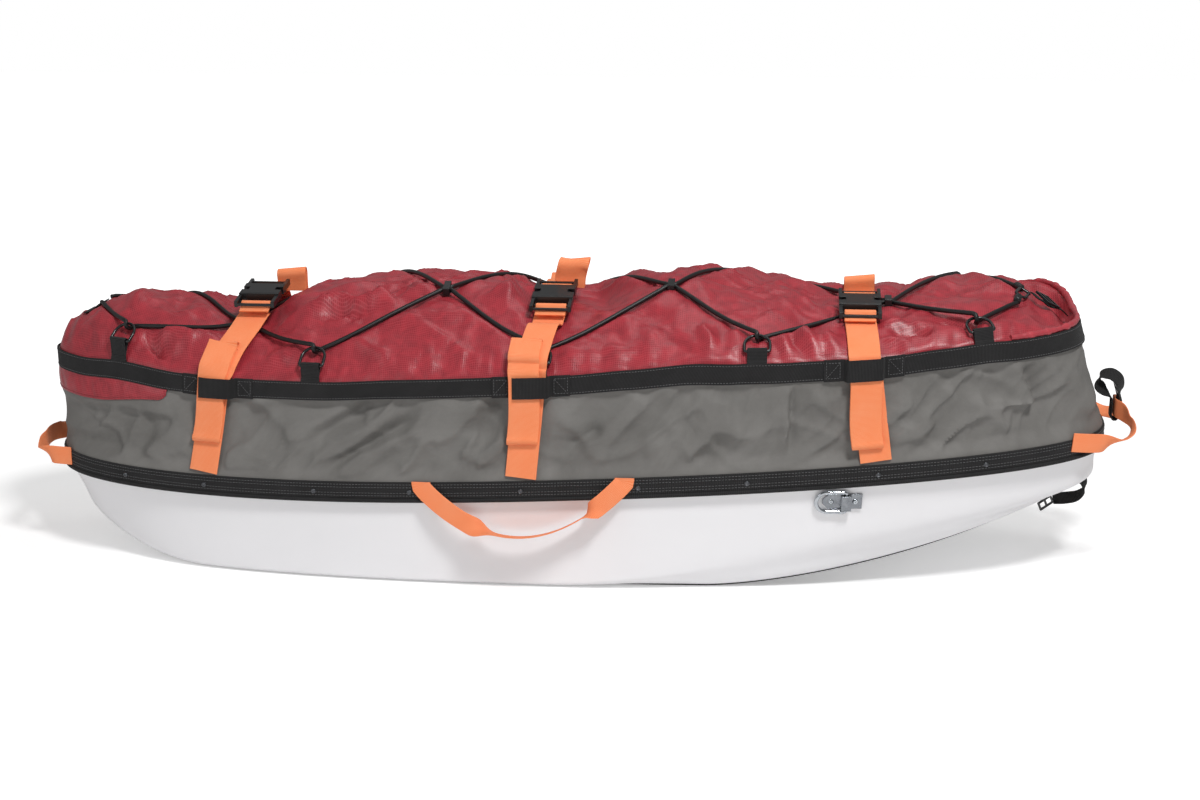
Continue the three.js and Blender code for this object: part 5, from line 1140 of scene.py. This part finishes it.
# Hem band: webbing sewn round the skirt's top, with the keepers that arch over the straps.
hem = {'height': 25, 'keeperHalf': 50, 'keeperThick': 1.6}
hemFoot = 1 - hem['height'] / skirtDepth
angles = evenAngles(900)
count = 13
level = np.linspace(1, hemFoot, count)
outer = wallPlace(angles[:, None], level[None])
inner = wallPlace(angles[:, None], level[None, ::-1], -hemThick)
places = np.concatenate([outer, inner], axis=1)
over = np.concatenate([np.linspace(0, hem['height'], count), np.linspace(hem['height'], 0, count), [0]])
uv = clothUv(loopLengths(places[:, 0]), over)
hemMeshes = [gridMesh(places, uv, True, True, crease=60)]
keeperSteps = [[-1, 0], [-0.52, 0], [-0.42, 1], [0.42, 1], [0.52, 0], [1, 0]]
tailLayers = {-1: 2, 1: 0}
stitchPaths = []
for strap in straps:
    for side in (-1, 1):
        arch = strapHemFace + strapSize['thick'] / 2 + tailLayers[side] * tailFold['layer'] + 4 * fineGap
        share = np.linspace(-1, 1, 90)
        rise = tableValue(keeperSteps, share) * (arch + fineGap) - fineGap
        x = strap['hem'] * halfLength + share * hem['keeperHalf']
        levels = np.linspace(1.008, hemFoot - 0.008, 7)
        rows = []
        for order, depth in ((levels, rise + hem['keeperThick']), (levels[::-1], rise)):
            for level in order:
                place, _, out = wallAt(x, side, level)
                rows.append(place + out * depth[:, None])
        grid = np.stack(rows, 1)
        uv = clothUv(lengths(grid[:, 0]), np.concatenate([levels, levels[::-1], levels[:1]]) * skirtDepth)
        hemMeshes.append(gridMesh(grid, uv, False, True, True, 60))
        for end in (-1, 1):  # a stitched box with a cross in it holds each end
            box = [[0.6, 0.12], [0.94, 0.12], [0.94, 0.88], [0.6, 0.88], [0.6, 0.12], [0.94, 0.88]]
            spots = np.concatenate([np.linspace(box[k], box[k + 1], 16) for k in range(5)]) * [end, 1]
            path, outs = [], []
            for s, t in spots:
                x = strap['hem'] * halfLength + s * hem['keeperHalf']
                place, _, out = wallAt(x, side, 1 - (1 - hemFoot) * t)
                path.append(place + out * (hem['keeperThick'] - 0.3))
                outs.append(out)
            stitchPaths.append((np.array(path), np.array(outs)))


# Tabs: webbing from the hem round each ring's bar and back.
def ringTab(seat):
    turn = ring['wire'] + seatGap + ring['tabThick'] / 2 + 2 * seatGap
    angle = np.radians([-90, -60, -30, 0, 30, 60, 90, 120])
    spokes = seat['reach'] * np.cos(angle)[:, None] + seat['up'] * np.sin(angle)[:, None]
    around = seat['bar'] + turn * spokes
    foot = seat['place'] + seat['out'] * hemThick / 2
    sewn = 4  # mm of each end that stands in the hem
    low = foot + [0, 0, ring['tabThick'] / 2 - fineGap - sewn]
    high = foot + seat['out'] * (-hemThick) + [0, 0, 1.5 * ring['tabThick'] + fineGap - sewn]
    path = smoothPath([low, low + [0, 0, sewn], *around, high + [0, 0, sewn], high], 1.5)
    return carried(path, seat['along'], webbingProfile(ring['tab'], ring['tabThick']))


# A D: its straight bar along one direction and its bow reaching out along the other.
def bowPath(bar, along, reach, half, length):
    turn = np.linspace(0, math.pi, 25)
    bow = bar + along * half * np.cos(turn)[:, None] + reach * (length - half + half * np.sin(turn))[:, None]
    leg = np.linspace(0.25, 0.9, 4)[:, None] * (length - half)
    corner, cut = 3.0, 0.8
    start = [bar - along * (half - corner), bar - along * (half - cut) + reach * cut,
             bar - along * half + reach * corner]
    finish = [bar + along * half + reach * corner, bar + along * (half - cut) + reach * cut,
              bar + along * (half - corner)]
    straight = [bar + along * half * s for s in (0.5, 0, -0.5)]
    left = [bar + along * half + reach * d for d in leg if d > corner]
    right = [bar - along * half + reach * d for d in leg[::-1] if d > corner]
    return smoothPath([*straight, *start, *right[::-1], *bow[::-1], *left[::-1], *finish], 1.0, True)


for name, side in sides.items():
    for i, share in enumerate(ringShares):
        seat = ringSeat(share, side)
        path = bowPath(seat['bar'], seat['along'], seat['reach'], ring['half'], ring['length'])
        addPiece(f'cordRing.{name}.{i + 1}', tube(path, ring['wire'], 12, True), blackSteel,
                 [f'cord_ring_{name}_{i + 1}'])
        hemMeshes.append(ringTab(seat))
        pressed.append(path - [0, 0, ring['wire'] + 0.5])
addPiece('hemBand', joined(hemMeshes, 60), blackWebbing, ['hem_band'])
lines = []
for level in (1 - 2.4 / skirtDepth, hemFoot + 2.4 / skirtDepth):
    path = wallPlace(np.append(angles, 2 * math.pi), level, 0.1)
    lines.append((path, unit(np.cross(unit(np.gradient(path, axis=0)), [0, 0, 1.0]))))
addPiece('hemStitches', stitchMesh(lines + stitchPaths, (3.8, 2.6, 0.36)), blackThread)
print('hem made')


# Handles: webbing from two places on the rim band, hanging in a bow or standing out in a loop.
handle = {'width': 25, 'thick': 1.3, 'ends': (-0.243, 0.126), 'drop': 0.44, 'start': 5, 'swing': 10}
handleFace = handle['thick'] / 2 + fineGap
handleProfile = webbingProfile(handle['width'], handle['thick'])
for name, side in sides.items():
    share = np.linspace(0, 1, 61)
    x = halfLength * (handle['ends'][0] + (handle['ends'][1] - handle['ends'][0]) * share)
    place, along, out = wallAt(x, side, plan=rimPlan)
    swing = handle['swing'] * np.sqrt(np.maximum(np.sin(math.pi * share), 0))
    place = place + out * (handleFace + swing)[:, None]
    place[:, 2] = rimTop(x) - handle['start'] - handle['drop'] * hullDepth * 4 * share * (1 - share)
    rise = np.array([[0, 0, 6.0], [0, 0, 3.0]])
    place = np.concatenate([place[:1] + rise, place, place[-1:] + rise[::-1]])
    out = np.concatenate([out[:2], out, out[-2:]])
    share = np.concatenate([[0, 0], share, [1, 1]])
    run = unit(np.gradient(place, axis=0))
    flat = unit(np.cross(run, out))
    turn = (ease(0.2, 0.38, share) * (1 - ease(0.8, 0.88, share)))[:, None]
    hint = unit(flat * (1 - turn) + (out * side + [0, 0, 0.22 * side]) * -turn)
    mesh = carried(place, hint, handleProfile)
    addPiece(f'sideHandle.{name}', mesh, orangeWebbing, [f'side_handle_{name}'], f'{name}_handle')

rearSpots = [
    [-0.985, -0.44, 0.9], [-1.003, -0.4, 0.9], [-1.025, -0.28, 0.9], [-1.04, -0.12, 0.93],
    [-1.044, 0, 0.94],
]
rearSpots += [[x, -y, z] for x, y, z in rearSpots[-2::-1]]
frontSpots = [
    [0.936, -0.55, 1.305], [0.97, -0.49, 1.28], [1.008, -0.41, 1.265], [1.037, -0.31, 1.29],
    [1.045, -0.2, 1.35], [1.034, -0.12, 1.42], [1.021, -0.055, 1.45], [1.021, 0, 1.45],
]
frontSpots += [[x, -y, z] for x, y, z in frontSpots[-2::-1]]


# A loop of webbing through spots in shares of the half length, half width and hull depth, whose ends
# are seated on the rim.
def loopHandle(spots, side):
    places = np.array(spots) * [halfLength, halfWidth, hullDepth]
    angle = np.linspace(-math.pi / 2, math.pi / 2, 2001) + (math.pi if side < 0 else 0)
    x, y = planPlace(rimPlan, angle)
    order = np.argsort(y)
    for i in (0, -1):
        at, more, less = (np.interp(places[i, 1] + step, y[order], x[order]) for step in (0, 1, -1))
        out = unit(np.array([1, -(more - less) / 2, 0]) * side)
        places[i, :2] = [at, places[i, 1]]
        places[i] += out * handleFace
    path = smoothPath(places, 2.5)
    share = np.linspace(0, 1, len(path))
    share = np.minimum(share, 1 - share)
    turn = (ease(0.1, 0.22, share) * (1 - ease(0.34, 0.44, share)))[:, None]
    sideways = np.sign(path[:, 1:2]) * [0, 0.97, 0] + [0, 0, 0.24]
    hint = np.array([0, 0, 1.0]) * (1 - turn) + sideways * turn
    return carried(path, hint, handleProfile)


addPiece('rearHandle', loopHandle(rearSpots, -1), orangeWebbing, ['rear_handle'], 'stern_handle')
addPiece('frontHandle', loopHandle(frontSpots, 1), orangeWebbing, ['front_handle'])

# Black webbing at the nose: the front handle's hanger and the strap that hangs under the nose.
hangerSpots = [[1.0258, 1.36], [1.0258, 1.5], [1.031, 1.59], [1.028, 1.68], [1.012, 1.735], [0.994, 1.72],
               [0.989, 1.65], [1.0, 1.59], [1.0145, 1.52], [1.0145, 1.36], [1.021, 1.335]]
path = smoothPath([[x * halfLength, 0, z * hullDepth] for x, z in hangerSpots], 1.5, True)
curled = ease(1.53, 1.62, path[:, 2:] / hullDepth)
addPiece('handleHanger', carried(path, [0, 1.0, 0] + curled * [0.5, 0, 0.45], handleProfile, True),
         blackWebbing, ['front_handle_hanger'])
noseSpots = [[0.958, 0.815], [0.972, 0.76], [0.975, 0.68], [0.962, 0.615], [0.94, 0.59], [0.917, 0.585]]
path = smoothPath([[x * halfLength, 0, z * hullDepth] for x, z in noseSpots], 1.5)
addPiece('noseStrap', carried(path, np.array([0.3, 1.0, 0.45]), webbingProfile(handle['width'], 1.6)),
         blackWebbing, ['nose_strap'])

# Where the cords end: tab at the stern, sleeves, hook, and the webbing that pulls the hook forward.
path = smoothPath([overCover(s * halfLength, 0, 2.7) for s in (-0.919, -0.93, -0.94, -0.951)], 1.5)
pressed += [path + [0, y, -1.6] for y in (-20, -7, 7, 20)]
addPiece('sternCordTab', carried(path, np.array([0, 1.0, 0]), webbingProfile(44, 1.6)), blackWebbing,
         ['rear_cord_tab'])
sleeve = {'radius': 5, 'lift': 6}
sleeveEnds = {'right': [[0.8187, -0.3685], [0.825, -0.284]], 'left': [[0.8285, -0.02], [0.834, -0.1035]]}
for name, ends in sleeveEnds.items():
    start, end = (overCover(x * halfLength, y * halfWidth, sleeve['lift']) for x, y in ends)
    share = np.linspace(0, 1, 30)
    path = start + (end - start) * share[:, None]
    pressed.append(path - [0, 0, sleeve['radius']])
    tapered = np.minimum(1, 0.72 + 6 * np.minimum(share, 1 - share))
    radius = sleeve['radius'] * tapered - 0.4 * (np.cos(share * 40) > 0)
    addPiece(f'cordSleeve.{name}', tube(path, radius, 16), blackAcetal, [f'cord_sleeve_{name}'])
hookBar = overCover(0.8385 * halfLength, -0.125 * halfWidth, 5.4)
hookEnd = overCover(0.8275 * halfLength, -0.262 * halfWidth, 5.4)
hookReach = hookEnd - hookBar
hookLong = float(np.linalg.norm(hookReach))
hookReach = unit(hookReach)
hookAlong = unit(np.cross(hookReach, coverNormal(hookBar[0], hookBar[1])))
addPiece('cordHook', tube(bowPath(hookBar, hookAlong, hookReach, 7, hookLong), 2, 12, True), blackSteel,
         ['cord_hook'])
frontSpots = [[0.8535, -0.184], [0.864, -0.16], [0.88, -0.125], [0.9, -0.08], [0.918, -0.04]]
frontPath = np.array([overCover(x * halfLength, y * halfWidth, 3.2, 10) for x, y in frontSpots])
pressed.append(smoothPath(frontPath, 2) - [0, 0, 1.6])
frontRun = unit(frontPath[3] - frontPath[0])
frontAcross = unit(np.cross(coverNormal(frontPath[1, 0], frontPath[1, 1]), frontRun))
addPiece('frontWebbing', carried(smoothPath(frontPath, 1.5), frontAcross, webbingProfile(20, 1.6)),
         blackWebbing, ['front_webbing'])
locks = {'frontLock': 'front_lock', 'noseLock': 'nose_lock', 'handleLock': 'front_handle_lock'}
for name, node in locks.items():
    roundedCopy(name, node, blackAcetal, 0.7)
for i in range(4):
    roundedCopy(f'cordLink.{i + 1}', f'cord_link_{i + 1}', blackAcetal, 1.4)


# The least of a function of the plan distance in mm and the height over all points that press on the
# cover, for each place on it; the places are taken in parts to spare memory.
def overPressed(x, y, function):
    points = np.concatenate(pressed)[:, :3]
    atOnce, parts = 1500, []
    for start in range(0, len(x), atOnce):
        part = slice(start, start + atOnce)
        away = np.hypot(x[part, None] - points[None, :, 0], y[part, None] - points[None, :, 1])
        parts.append(function(away, points[None, :, 2]).min(1))
    return np.concatenate(parts)


# Heights held under all that presses on the cover. From each such point the limit climbs by
# slope (distance - free)^power, and beyond loose also by bow (distance - loose)^2. A height meets the
# limit softly: it loses soft ln(1 + e^(gap / soft)) - gap, where gap is how far it lies under it.
hold = {'slope': 0.85, 'free': 1.5, 'power': 0.92, 'bow': 0.012, 'loose': 12, 'soft': 2.5}


def pressLimit(away, height):
    climb = hold['slope'] * np.maximum(away - hold['free'], 0) ** hold['power']
    return height + (climb + hold['bow'] * np.maximum(away - hold['loose'], 0) ** 2)


def heldDown(x, y, z):
    soft = hold['soft']
    gap = overPressed(x, y, pressLimit) - z
    return z + np.where(gap > 3 * soft, 0, gap - soft * np.log1p(np.exp(np.clip(gap / soft, -30, 30))))


# The plan distance in mm to the nearest strap, cord or small piece on the cover.
def pressedAway(x, y):
    return overPressed(x, y, lambda away, height: away)


# A cloth simulation of a piece whose rest shape grows by a share under light pressure: held corners
# stay, and no corner moves further than the cap in mm. Gives the corners' new places in mm.
def slackened(piece, held, grow, pressure, cap):
    frames = 20
    start = np.empty(len(piece.data.vertices) * 3)
    piece.data.vertices.foreach_get('co', start)
    group = piece.vertex_groups.new(name='held')
    group.add(np.flatnonzero(held).tolist(), 1.0, 'REPLACE')
    drape = piece.modifiers.new('drape', 'CLOTH')
    cloth = drape.settings
    cloth.quality = 5
    cloth.mass = 0.15
    cloth.tension_stiffness = cloth.compression_stiffness = 30
    cloth.shear_stiffness = 10
    cloth.bending_stiffness = 0.6
    cloth.shrink_min = -grow
    cloth.use_pressure = True
    cloth.uniform_pressure_force = pressure
    cloth.vertex_group_mass = 'held'
    cloth.effector_weights.gravity = 0
    drape.point_cache.frame_start, drape.point_cache.frame_end = 1, frames
    for number in range(1, frames + 1):
        scene.frame_set(number)
    ended = piece.evaluated_get(bpy.context.evaluated_depsgraph_get())
    finish = np.empty_like(start)
    ended.data.vertices.foreach_get('co', finish)
    piece.modifiers.remove(drape)
    piece.vertex_groups.remove(group)
    scene.frame_set(1)
    start, finish = start.reshape(-1, 3) / mm, finish.reshape(-1, 3) / mm
    move = np.nan_to_num(finish - start)
    far = np.linalg.norm(move, axis=1, keepdims=True)
    print(f'{piece.name} moved {far.mean():.1f} mm, at most {far.max():.1f} mm')
    return start + move * cap * np.tanh(far / cap) / np.maximum(far, 1e-6)


# How far the cloth lies under the even crown between the cords: [share of the half length, mm].
crownTrims = [
    [-1.03, 0], [-0.92, 2], [-0.86, 4], [-0.76, 12], [-0.7, 6], [-0.64, -3], [-0.56, 3], [-0.4, 4],
    [-0.3, 10], [-0.2, 12], [-0.05, 11], [0.06, 13], [0.2, 18], [0.35, 14], [0.46, 10], [0.6, 14],
    [0.77, 14], [0.84, 8], [1.03, 0],
]

# Cover cloth: the crown with swells between the straps, puckers at the hem and drag creases.
angles = evenAngles(cover['stations'])
share = 1 - np.linspace(0, 1, cover['rings']) ** 0.9
edgeX, edgeY = planPlace(hemPlan, angles, coverFace)
squeeze = 1 - (1 - share) * cover['spineInset'] / halfLength
x = edgeX[None] * squeeze[:, None]
y = edgeY[None] * share[:, None]
z = coverHeight(x, y)
z[0] = hemTop(edgeX, edgeY)
inner = 1 - share[:, None] + 0 * x
free = ease(0, 0.25, inner)
edgeDistance = inner * 200
swell = 4 * free + 5 * lattice(x, y, 95, 3) * free
pucker = creaseHeights(x, y * 0.6, [[86, 70, 13, 41, 1.6, 3.2]])
pucker = pucker * np.exp(-edgeDistance / 34) * ease(0, 0.03, inner)
drape = creaseHeights(x, y, [[24, 170, 40, 43, 2.6, 5.5], [-30, 140, 34, 47, 2.6, 4.5]], free)
crumple = creaseHeights(x, y, [[70, 80, 22, 53, 2.2, 1.4]], free) + lattice(x, y, 15, 59) * 0.3 * free
u = x / halfLength
sunk = tableValue(crownTrims, u) * free * (0.35 + 0.65 * ease(-105, -30, y))
sunk += 18 * ease(0.8, 0.9, u) * ease(0.02, 0.3, inner)
sunk *= 0.15 + 0.85 * ease(10, 60, pressedAway(x.ravel(), y.ravel()).reshape(x.shape))
nearRidges = [  # places on the cover of both ends, then height and width in mm, as in the photograph
    [-384, -103, -330, -95, 5, 7], [-330, -95, -298, -83, 8, 7], [-298, -83, -272, -101, 7, 6],
    [-272, -101, -242, -83, 9, 7], [-242, -83, -226, -103, 7, 6], [-320, -104, -232, -104, -5, 7],
    [-582, -85, -554, -69, 6, 7], [-554, -69, -534, -81, 5, 6], [-534, -81, -508, -69, 6, 6],
    [-556, -107, -512, -139, -10, 6], [-568, -100, -540, -118, -7, 7], [-540, -96, -490, -118, 5, 8],
    [-250, -182, -236, -196, 5, 4], [-232, -184, -226, -196, -4, 4], [-208, -183, -216, -198, 5, 4],
    [-186, -186, -178, -198, -4, 4], [-164, -184, -148, -202, 5, 4], [-140, -186, -128, -202, -4, 4],
    [264, -127, 304, -146, 8, 8], [268, -141, 300, -156, -8, 7], [308, -153, 328, -199, 6, 7],
    [342, -168, 362, -193, 6, 6], [282, -174, 300, -202, 6, 7], [296, -172, 314, -200, -5, 5],
    [410, -137, 466, -143, 6, 8], [420, -150, 470, -158, -7, 8], [412, -169, 448, -184, 5, 6],
    [480, -130, 530, -148, -9, 8], [-104, -108, -64, -62, 7, 8], [-84, -116, -68, -82, 6, 6],
    [-612, -66, -582, -99, -6, 7], [-640, -40, -600, -84, 6, 8], [180, -160, 200, -190, 5, 6],
    [226, -163, 238, -196, 5, 6],
]
ridgeGain = 2.1  # ridges are made higher than they were read, to show
z = z + swell + pucker + drape + crumple - 5.5 * free - sunk
z[1:] = heldDown(x[1:].ravel(), y[1:].ravel(), z[1:].ravel()).reshape(z[1:].shape)
top = point(x, y, z)
tucked = wallPlace(angles, 1 - cover['tuck'] / skirtDepth, coverFace)
cloth = np.concatenate([tucked[None], top])
across = np.concatenate([[0 * angles], np.cumsum(np.linalg.norm(np.diff(cloth, axis=0), axis=-1), axis=0)])
v = np.sign(np.sin(angles))[None] * (240 - across)
uv = np.stack([np.concatenate([edgeX[None], x]), v], -1)
uv = np.concatenate([uv, uv[:, :1]], axis=1)
coverMesh = gridMesh(cloth, uv, False, True, crease=80, merge=True)
coverPiece = addPiece('coverCloth', coverMesh, redRipstop, ['cover'])
flat = np.empty(len(coverMesh.vertices) * 3)
coverMesh.vertices.foreach_get('co', flat)
x, y, z = flat.reshape(-1, 3).T / mm
edge = coverHalf(x) - np.abs(y)
clear = heldDown(x, y, np.full(len(x), 900.0)) - z
held = (edge < 5) | (clear < 1.2)
calm = (1 - 0.7 * ease(0.78, 0.86, x / halfLength) - 0.5 * ease(-0.88, -0.95, x / halfLength))[:, None]
start = point(x, y, z)
moved = slackened(coverPiece, held, cover['grow'], cover['pressure'], cover['cap'])
x, y, z = (start + (moved - start) * calm).T
pinched = creaseHeights(x, y, [[24, 190, 52, 43, 3, 6.5], [-30, 160, 44, 47, 3, 6]])
pinched += ridgeGain * foldHeights(x, y, nearRidges)
z = np.where(held, z, heldDown(x, y, z + pinched * ease(3, 22, edge) - 4 * ease(20, 60, edge)))
coverMesh.vertices.foreach_set('co', (point(x, y, z) * mm).ravel())
coverMesh.update()
thicken(coverPiece, 0.8)

# Rolled edge round the nose: a tube of gathered cloth on the cover's edge.
roll = {'start': 0.8, 'radius': 4.2, 'lift': 3}
base = evenAngles(1400)
loop = wallPlace(base, 1, coverFace - fineGap)
ahead = loop[:, 0] > roll['start'] * halfLength
order = np.argsort(np.where(base > math.pi, base - 2 * math.pi, base)[ahead])
path = loop[ahead][order] + [0, 0, roll['lift']]
path = smoothPath(path[::6], 2.5)
u = lengths(path)
radius = roll['radius'] + 0.9 * lattice(u, 0 * u, 9, 61) + 0.5 * lattice(u, 0 * u, 4, 67)
addPiece('noseRoll', tube(path, radius, 14), redRipstop)
print('cover made')

# Tow brackets: riveted plate with an arch over the D ring's bar.
tow = {'half': 14.4, 'length': 38, 'wire': 2.6, 'plate': 2.0, 'rivets': (19, -12)}
towRivet = [[0.01, 0.9], [0.9, 0.9], [1.1, 1.5], [2.4, 1.9], [3.3, 1.4], [3.8, 0.4], [3.9, 0], [3.8, -0.6]]
towRivet += [[0.01, -0.6]]
towBars = {'right': [370.54, -189.90, 129.75], 'left': [370.54, 189.90, 129.75]}
towUps = {'right': [0.0345, -0.2587, 0.9653], 'left': [0.0345, 0.2587, 0.9653]}
for name in ('right', 'left'):
    roundedCopy(f'towPlate.{name}', f'tow_plate_{name}', zincPlate, 0.5)
    low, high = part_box(f'tow_ring_{name}')
    bar, up = np.array(towBars[name]), unit(np.array(towUps[name]))
    middle = np.array((low + high) / 2) / mm
    reach = middle - bar
    reach = unit(reach - up * (reach @ up))
    path = bowPath(bar, up, reach, tow['half'], tow['length'])
    addPiece(f'towRing.{name}', tube(path, tow['wire'], 18, True), zincWire, [f'tow_ring_{name}'],
             f'{name}_ring')
    face = unit(np.cross(reach, up))
    face = face if face[1] * bar[1] > 0 else -face
    spots = [bar + reach * along - face * tow['plate'] for along in tow['rivets']]
    addPiece(f'towRivets.{name}', turned(spots, [face, face], towRivet), zincWire)
print('small pieces made')

# Studio: a pale floor that glows white to the camera further out, and a sky that is white to the
# camera and dimmer to everything else.
floorMesh = bpy.data.meshes.new('floor')
floorMesh.from_pydata([(-8, -8, 0), (8, -8, 0), (8, 8, 0), (-8, 8, 0)], [], [(0, 1, 2, 3)])
floor = bpy.data.objects.new('floor', floorMesh)
scene.collection.objects.link(floor)
studio = {'sky': 0.27, 'key': 76, 'top': 10, 'fill': 12, 'near': 0.35, 'far': 1.0}
white, tree, shader = newMaterial('paleFloor')
seen = addNode(tree, 'ShaderNodeLightPath', {}).outputs['Is Camera Ray']
spot = addNode(tree, 'ShaderNodeTexCoord', {}).outputs['Object']
away = addNode(tree, 'ShaderNodeVectorMath', {0: spot}, operation='LENGTH')
paler = addNode(tree, 'ShaderNodeMapRange', {'Value': away.outputs['Value'], 'From Min': 0.9, 'From Max': 2.4,
                'To Min': studio['near'], 'To Max': studio['far']})
glow = addNode(tree, 'ShaderNodeMath', {0: seen, 1: paler.outputs['Result']}, operation='MULTIPLY')
setInputs(shader, {'Base Color': (0.93, 0.93, 0.93, 1), 'Roughness': 0.9, 'Specular IOR Level': 0.1,
                   'Emission Color': (1, 1, 1, 1), 'Emission Strength': glow.outputs[0]})
floorMesh.materials.append(white)
world = bpy.data.worlds.new('studio')
world.use_nodes = True
scene.world = world
sky = world.node_tree
seen = addNode(sky, 'ShaderNodeLightPath', {}).outputs['Is Camera Ray']
level = addNode(sky, 'ShaderNodeMapRange', {'Value': seen, 'To Min': studio['sky'], 'To Max': 1.0})
setInputs(sky.nodes['Background'], {'Color': (1, 1, 1, 1), 'Strength': level.outputs['Result']})


# A rectangular lamp at a place, turned towards its target.
def softLight(name, place, target, size, power):
    lamp = bpy.data.lights.new(name, 'AREA')
    lamp.shape = 'RECTANGLE'
    lamp.size, lamp.size_y = size
    lamp.energy = power
    holder = bpy.data.objects.new(name, lamp)
    holder.location = place
    way = Vector(target) - Vector(place)
    holder.rotation_mode = 'QUATERNION'
    holder.rotation_quaternion = way.to_track_quat('-Z', 'Y')
    scene.collection.objects.link(holder)


softLight('keyLight', (1.1, -2.0, 2.9), (0, 0, 0.2), (0.6, 0.5), studio['key'])
softLight('topLight', (0.3, 0.3, 2.4), (0, 0, 0.2), (2.4, 0.6), studio['top'])
softLight('fillLight', (-2.4, -2.2, 1.3), (-0.2, 0, 0.2), (1.6, 1.2), studio['fill'])
